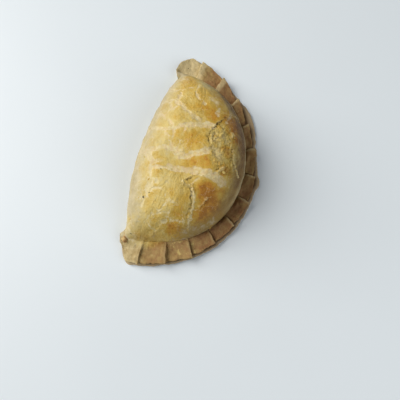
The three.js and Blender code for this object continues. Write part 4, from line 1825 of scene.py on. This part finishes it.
    def _rim(self, m: MaterialGraph, skin: Term, fine: Term, medium: Term) -> Term:
        """Browns the crimps, paints highlights on their raised ends and shade in their creases and under their
        edges, and leaves the lip of dough under them paler.

        Args:
            m: the material's tree.
            skin: the colour so far.
            fine: noise under a millimetre wide.
            medium: noise a few millimetres wide.

        Returns:
            The colour with the rim in place.
        """
        names = ("across", "level", "step", "around", "along", "hidden")
        across, level, step, around, along, hidden = (m.attribute(name) for name in names)
        far, wide = m.step(around, *self.far_crimps), m.step(around, *self.wide_crimps)
        patchy = m.mottled(self.patchy)
        browning = m.attribute("rim_bake") + (medium - 0.5) * 0.4 + (patchy - 0.5) * 0.12 + (fine - 0.5) * 0.1
        browning = browning - 0.14 * m.over(around, self.paler_crimps)
        rim = m.scale(
            browning, (0.0, self.pale_rim_and_highlight), (0.4, self.rim_tan), (0.8, self.rim_brown), (1.2, self.rim_dark)
        )
        speckled = m.step(patchy, 0.3, 0.1) * m.over(around, self.speckled_crimps)
        # Painted highlights, partly paler dough: the crimps' raised ends and crests catch the light.
        raised = m.step(along, 0.88 - 0.14 * wide, 0.98 - 0.12 * wide) * level
        middle, top = m.step(around, *self.middle_crimps) * (1.0 - far), (1.0 - step) * level
        crest_highlight = m.step(along, 0.9, 0.99) * top * middle
        # Painted shade in the creases: on the steps that face from the light and the low start of each crimp.
        groove = m.step(along, 0.045 + 0.06 * middle, 0.0) * top * m.step(across, 0.05, 0.3)
        crease_shade = m.most(step * 0.6, groove * (0.7 + 0.2 * middle)) * (1.0 - far)
        rim = m.coats(
            rim,
            (self.light_gold, speckled * level * 0.6),
            (self.pale_rim_and_highlight, raised * (0.22 + 0.55 * far) * (0.4 + 0.9 * fine)),
            # painted highlight on the far steps, which face the light
            (self.torn_dough_and_highlight, step * far * 0.6),
            (self.pale_rim_and_highlight, crest_highlight * (0.25 + 0.5 * fine)),
            (self.split, crease_shade * mix(1.0, 0.45, m.step(around, *self.creased_crimps))),
            (self.flour, m.attribute("floury") * fine * 0.6),
            (self.lip, m.step(across, 0.9, 1.0) * (1.0 - level) * (0.45 + 0.5 * fine)),
            # painted shadow under the crimps' edges
            (self.split, hidden * m.step(around, *self.shaded_lip) * 0.85),
        )
        near = m.step(around, *self.near_end)
        starts, width = mix(-0.06, 0.12, near), mix(0.08, 0.4, near)
        covered = m.step(across + (medium - 0.5) * 0.12, starts, starts + width)
        return m.tint(skin, rim, covered * m.step(across, 0.0, 0.02))


@dataclass(frozen=True)
class FlakeFinish:
    """Flakes and crumbs of broken crust: gold where the glaze is still on them and pale where they tore."""

    name: str
    glazed: Colour = linear(204, 164, 74)
    torn: Colour = linear(220, 194, 112)
    scorched: Colour = linear(164, 118, 52)
    patches: Mottle = Mottle(0.5, 3.0, 0.6, levels=(0.4, 0.62))
    roughness: float = 0.7
    grain_depth: float = 0.0001  # metres

    def material(self) -> Material:
        """Returns the material of the loose bits."""
        m = MaterialGraph(self.name)
        fine = m.speckle(3.0, 3.0, 0.6)
        skin = m.tint(self.glazed, self.torn, m.blotched(self.patches))
        skin = m.tint(skin, self.scorched, m.step(fine, 0.52, 0.7) * 0.6)
        return m.dress(skin, self.roughness, fine, self.grain_depth)


@dataclass(frozen=True)
class CurlFinish:
    """The roll of spare dough, browned along its ridges."""

    dough: Colour = linear(188, 154, 92)
    browned: Colour = linear(146, 100, 48)
    pale: Colour = linear(214, 186, 122)
    ridges: Mottle = Mottle(0.7, 3.0, levels=(0.42, 0.6))
    roughness: float = 0.62
    grain_depth: float = 0.00025  # metres

    def material(self) -> Material:
        """Returns the curl's material."""
        m = MaterialGraph("rolled_dough")
        fine = m.speckle(1.8, 4.0, 0.6)
        skin = m.tint(self.dough, self.browned, m.blotched(self.ridges))
        skin = m.tint(skin, self.pale, m.step(fine, 0.5, 0.66) * 0.5)
        return m.dress(skin, self.roughness, fine, self.grain_depth)


@dataclass(frozen=True)
class HerbFinish:
    """Dried herb baked into the glaze."""

    leaf: Colour = linear(76, 78, 44)
    dried: Colour = linear(112, 92, 50)
    roughness: float = 0.6
    grain_depth: float = 0.0001  # metres

    def material(self) -> Material:
        """Returns the herb's material."""
        m = MaterialGraph("dried_herb")
        fine = m.speckle(2.5, 3.0, 0.6)
        leaf = m.tint(self.leaf, self.dried, m.step(fine, 0.4, 0.65))
        return m.dress(leaf, self.roughness, fine, self.grain_depth)


@dataclass(frozen=True)
class TableFinish:
    """The plain pale floor."""

    colour: Colour = linear(228, 235, 239)
    clouding: float = 0.97  # of that colour, where it is at its darkest
    roughness: float = 0.55

    def material(self) -> Material:
        """Returns the floor's material."""
        m = MaterialGraph("pale_floor")
        clouded = tuple(self.clouding * channel for channel in self.colour)
        return m.dress(m.tint(self.colour, clouded, m.speckle(0.012, 2.0)), self.roughness)


# ---- Floor, light and camera ----


@dataclass(frozen=True)
class Lamp:
    """A round softbox that faces the pie."""

    name: str
    place: tuple[float, float, float]  # the direction in which it stands
    size: float  # its width in metres
    power: float  # watts
    colour: Colour
    distance: float = 2.0


@dataclass(frozen=True)
class Studio:
    """The floor under the pie, the soft light over it and the camera. Sizes in metres."""

    azimuth: float = math.radians(105.0)
    elevation: float = math.radians(76.0)
    distance: float = 0.2133
    aim: Point = (0.0237, 0.0046)  # from the middle of the base
    lens: float = 29.7
    near_clip: float = 0.01
    key: Lamp = Lamp("key", (-0.04, -0.83, 0.59), 1.9, 57.5, (1.0, 0.985, 0.96))
    fill: Lamp = Lamp("fill", (0.2, 0.75, 0.55), 1.9, 17.0, (0.95, 0.975, 1.0))
    sky: Colour = (0.80, 0.89, 1.0)
    sky_strength: float = 0.06
    floor_half: float = 1.5
    floor_gap: float = 0.0002  # under the pie

    def floor(self) -> None:
        """Lays the floor, which isn't attached to the pie."""
        mesh = bpy.data.meshes.new("floor")
        half, z = self.floor_half, CAD_BOX[0][2] - self.floor_gap
        corners = [(-half, -half, z), (half, -half, z), (half, half, z), (-half, half, z)]
        mesh.from_pydata(corners, [], [(0, 1, 2, 3)])
        floor = linked("floor", mesh)
        mesh.materials.append(TableFinish().material())

    def light(self) -> None:
        """Adds the key light, the weaker light that fills its shadows, and the pale sky."""
        self._softbox(self.key)
        self._softbox(self.fill)
        world = bpy.data.worlds.new("sky")
        world.use_nodes = True
        ground = world.node_tree.nodes["Background"]
        ground.inputs["Color"].default_value = (*self.sky, 1.0)
        ground.inputs["Strength"].default_value = self.sky_strength
        bpy.context.scene.world = world

    def _softbox(self, lamp: Lamp) -> None:
        """Adds one softbox.

        Args:
            lamp: its size, its power and where it stands.
        """
        low, high = (Vector(corner) for corner in CAD_BOX)
        data = bpy.data.lights.new(lamp.name, "AREA")
        data.shape, data.size, data.energy, data.color = "DISK", lamp.size, lamp.power, lamp.colour
        towards = Vector(lamp.place).normalized()
        made = linked(lamp.name, data)
        made.location = (low + high) / 2 + towards * lamp.distance
        made.rotation_euler = towards.to_track_quat("Z", "Y").to_euler()

    def camera(self) -> None:
        """Places the camera, which looks down on the pie from its crimped side."""
        low, high = (Vector(corner) for corner in CAD_BOX)
        aim_x, aim_y = self.aim
        target = Vector(((low.x + high.x) / 2 + aim_x, (low.y + high.y) / 2 + aim_y, low.z))
        flat = math.cos(self.elevation)
        sine, cosine = math.sin(self.azimuth), math.cos(self.azimuth)
        back = Vector((sine * flat, -cosine * flat, math.sin(self.elevation)))
        right = Vector((cosine, sine, 0.0))
        data = bpy.data.cameras.new("camera")
        data.lens, data.clip_start = self.lens, self.near_clip
        camera = linked("camera", data)
        turn = Matrix((right, back.cross(right), back)).transposed().to_4x4()
        camera.matrix_world = Matrix.Translation(target + back * self.distance) @ turn
        bpy.context.scene.camera = camera


def main() -> None:
    """Builds the pie and its setting, and reports each piece."""
    studio = Studio()
    studio.camera()
    studio.floor()
    studio.light()
    bpy.context.scene.view_settings.view_transform = "Standard"
    baked = Crust()
    origin = baked.origin()
    crust = baked.build(CrustFinish().material())
    flakes = Scatter(
        name="crust_flakes", gathers_on="broken", density=80000.0, stray_density=600.0,
        length=(0.0010, 0.0030), proportions=(1.0, 0.7, 0.24), tilt=0.22, raggedness=0.0012, seed=5,
    ).build(crust, FlakeFinish("broken_glaze").material())
    crumbs = Scatter(
        name="crust_crumbs", gathers_on="torn", density=500000.0, stray_density=1500.0,
        length=(0.0004, 0.0010), proportions=(1.0, 0.85, 0.7), tilt=1.0, raggedness=0.0005, seed=9,
    ).build(crust, FlakeFinish("loose_crumb").material())
    curl = DoughCurl().build(origin, CurlFinish().material())
    herbs = HerbFlecks().build(crust, origin, HerbFinish().material())
    for piece in (crust, flakes, crumbs, curl, herbs):
        log.info("%s: %d faces", piece.name, len(piece.data.polygons))


if __name__ == "__main__":
    logging.basicConfig(level=logging.INFO, format="%(message)s")
    main()
